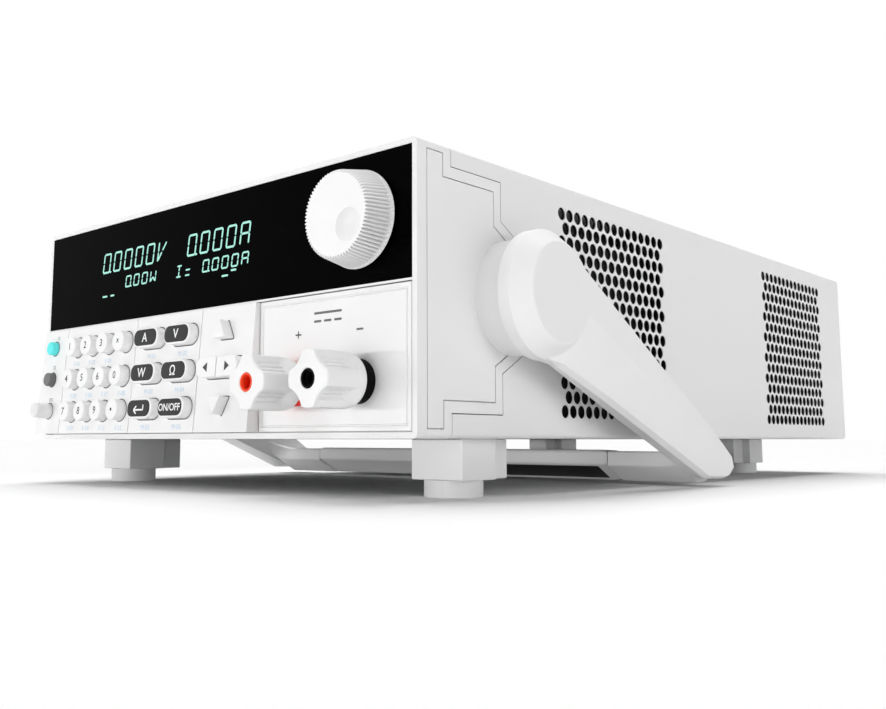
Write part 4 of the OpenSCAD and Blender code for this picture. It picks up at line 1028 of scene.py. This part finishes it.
def on_grip(u, v, h):
    """Frame of the grip's flat underside: along the bar, away from the hub, out of it."""
    return on_bail(plate_p + v, plate_q - h, plate_x + u)


plate = stack(plate_outline, [(0, -0.1)] + over_edge(0.08, 0.06), on_grip)
solid("grip_plate", plate, "bail", "bail_plastic", moulded("plate_black", (0.01, 0.01, 0.01), 0.4))

# Feet: four T-shaped blocks of satin plastic, screwed under the chassis. Each holds a round pad of grey-white
# rubber, on which the object stands.
dress(moulded("foot_white", (0.80, 0.80, 0.80), 0.48), ["foot_blocks"], 0.5)
dress(rubber("pad_rubber", (0.74, 0.74, 0.74)), ["foot_pads"], 0.7)


# Studio: a white floor that runs on into a white surround. Two long strips, low in front and on the right,
# reach under the case; a broad sun from high at the back left and two weak ones, from the front left and
# from the right, give the rest. The floor under the case keeps its shadow.
def studio_floor():
    """White paper: faint fibre in its tone."""
    material, shader, point = start("paper", {"Roughness": 0.9, "Specular IOR Level": 0.0})
    fibre = noise(point, 300, 3)
    feed(shader, {"Base Color": blend(fibre, (0.93, 0.93, 0.93), (0.95, 0.95, 0.95))})
    return material


mesh = bpy.data.meshes.new("floor")
mesh.from_pydata([(-30, -30, 0), (30, -30, 0), (30, 30, 0), (-30, 30, 0)], [], [[0, 1, 2, 3]])
mesh.materials.append(studio_floor())
floor = bpy.data.objects.new("floor", mesh)
bpy.context.scene.collection.objects.link(floor)

# Each sun: its strength, spread, lean and turn; each strip: its power, height, place and turn
suns = {"front": (0.3, 22, 45, -35), "side": (0.82, 36, 70, 70), "top": (2.43, 50, -17, 50)}
for name, (strength, spread, lean, turn) in suns.items():
    sun = bpy.data.lights.new(name, "SUN")
    sun.energy = strength
    sun.angle = math.radians(spread)
    lamp = bpy.data.objects.new(name, sun)
    lamp.rotation_euler = (math.radians(lean), 0, math.radians(turn))
    bpy.context.scene.collection.objects.link(lamp)

strips = {"front_strip": (22.3, 0.08, (-0.6, -2.2, 0.044), -16),
          "side_strip": (6.4, 0.06, (2.3, 0.0, 0.034), 90)}
strip_length = 2.4
for name, (power, height, place, turn) in strips.items():
    strip = bpy.data.lights.new(name, "AREA")
    strip.shape = "RECTANGLE"
    strip.size = strip_length
    strip.size_y = height
    strip.energy = power
    lamp = bpy.data.objects.new(name, strip)
    lamp.location = place
    lamp.rotation_euler = (math.radians(90), 0, math.radians(turn))
    bpy.context.scene.collection.objects.link(lamp)

world = bpy.data.worlds.new("surround")
world.use_nodes = True
bpy.context.scene.world = world
tree = world.node_tree
background = tree.nodes["Background"]
path = tree.nodes.new("ShaderNodeLightPath")
seen = Value(path.outputs["Is Camera Ray"])
glossy = Value(path.outputs["Is Glossy Ray"])
shown = seen.math("MAXIMUM", seen, glossy)
level = 0.15 + 0.85 * shown
tree.links.new(level.socket, background.inputs["Strength"])
background.inputs["Color"].default_value = (1, 1, 1, 1)
bpy.context.scene.view_settings.view_transform = "Standard"
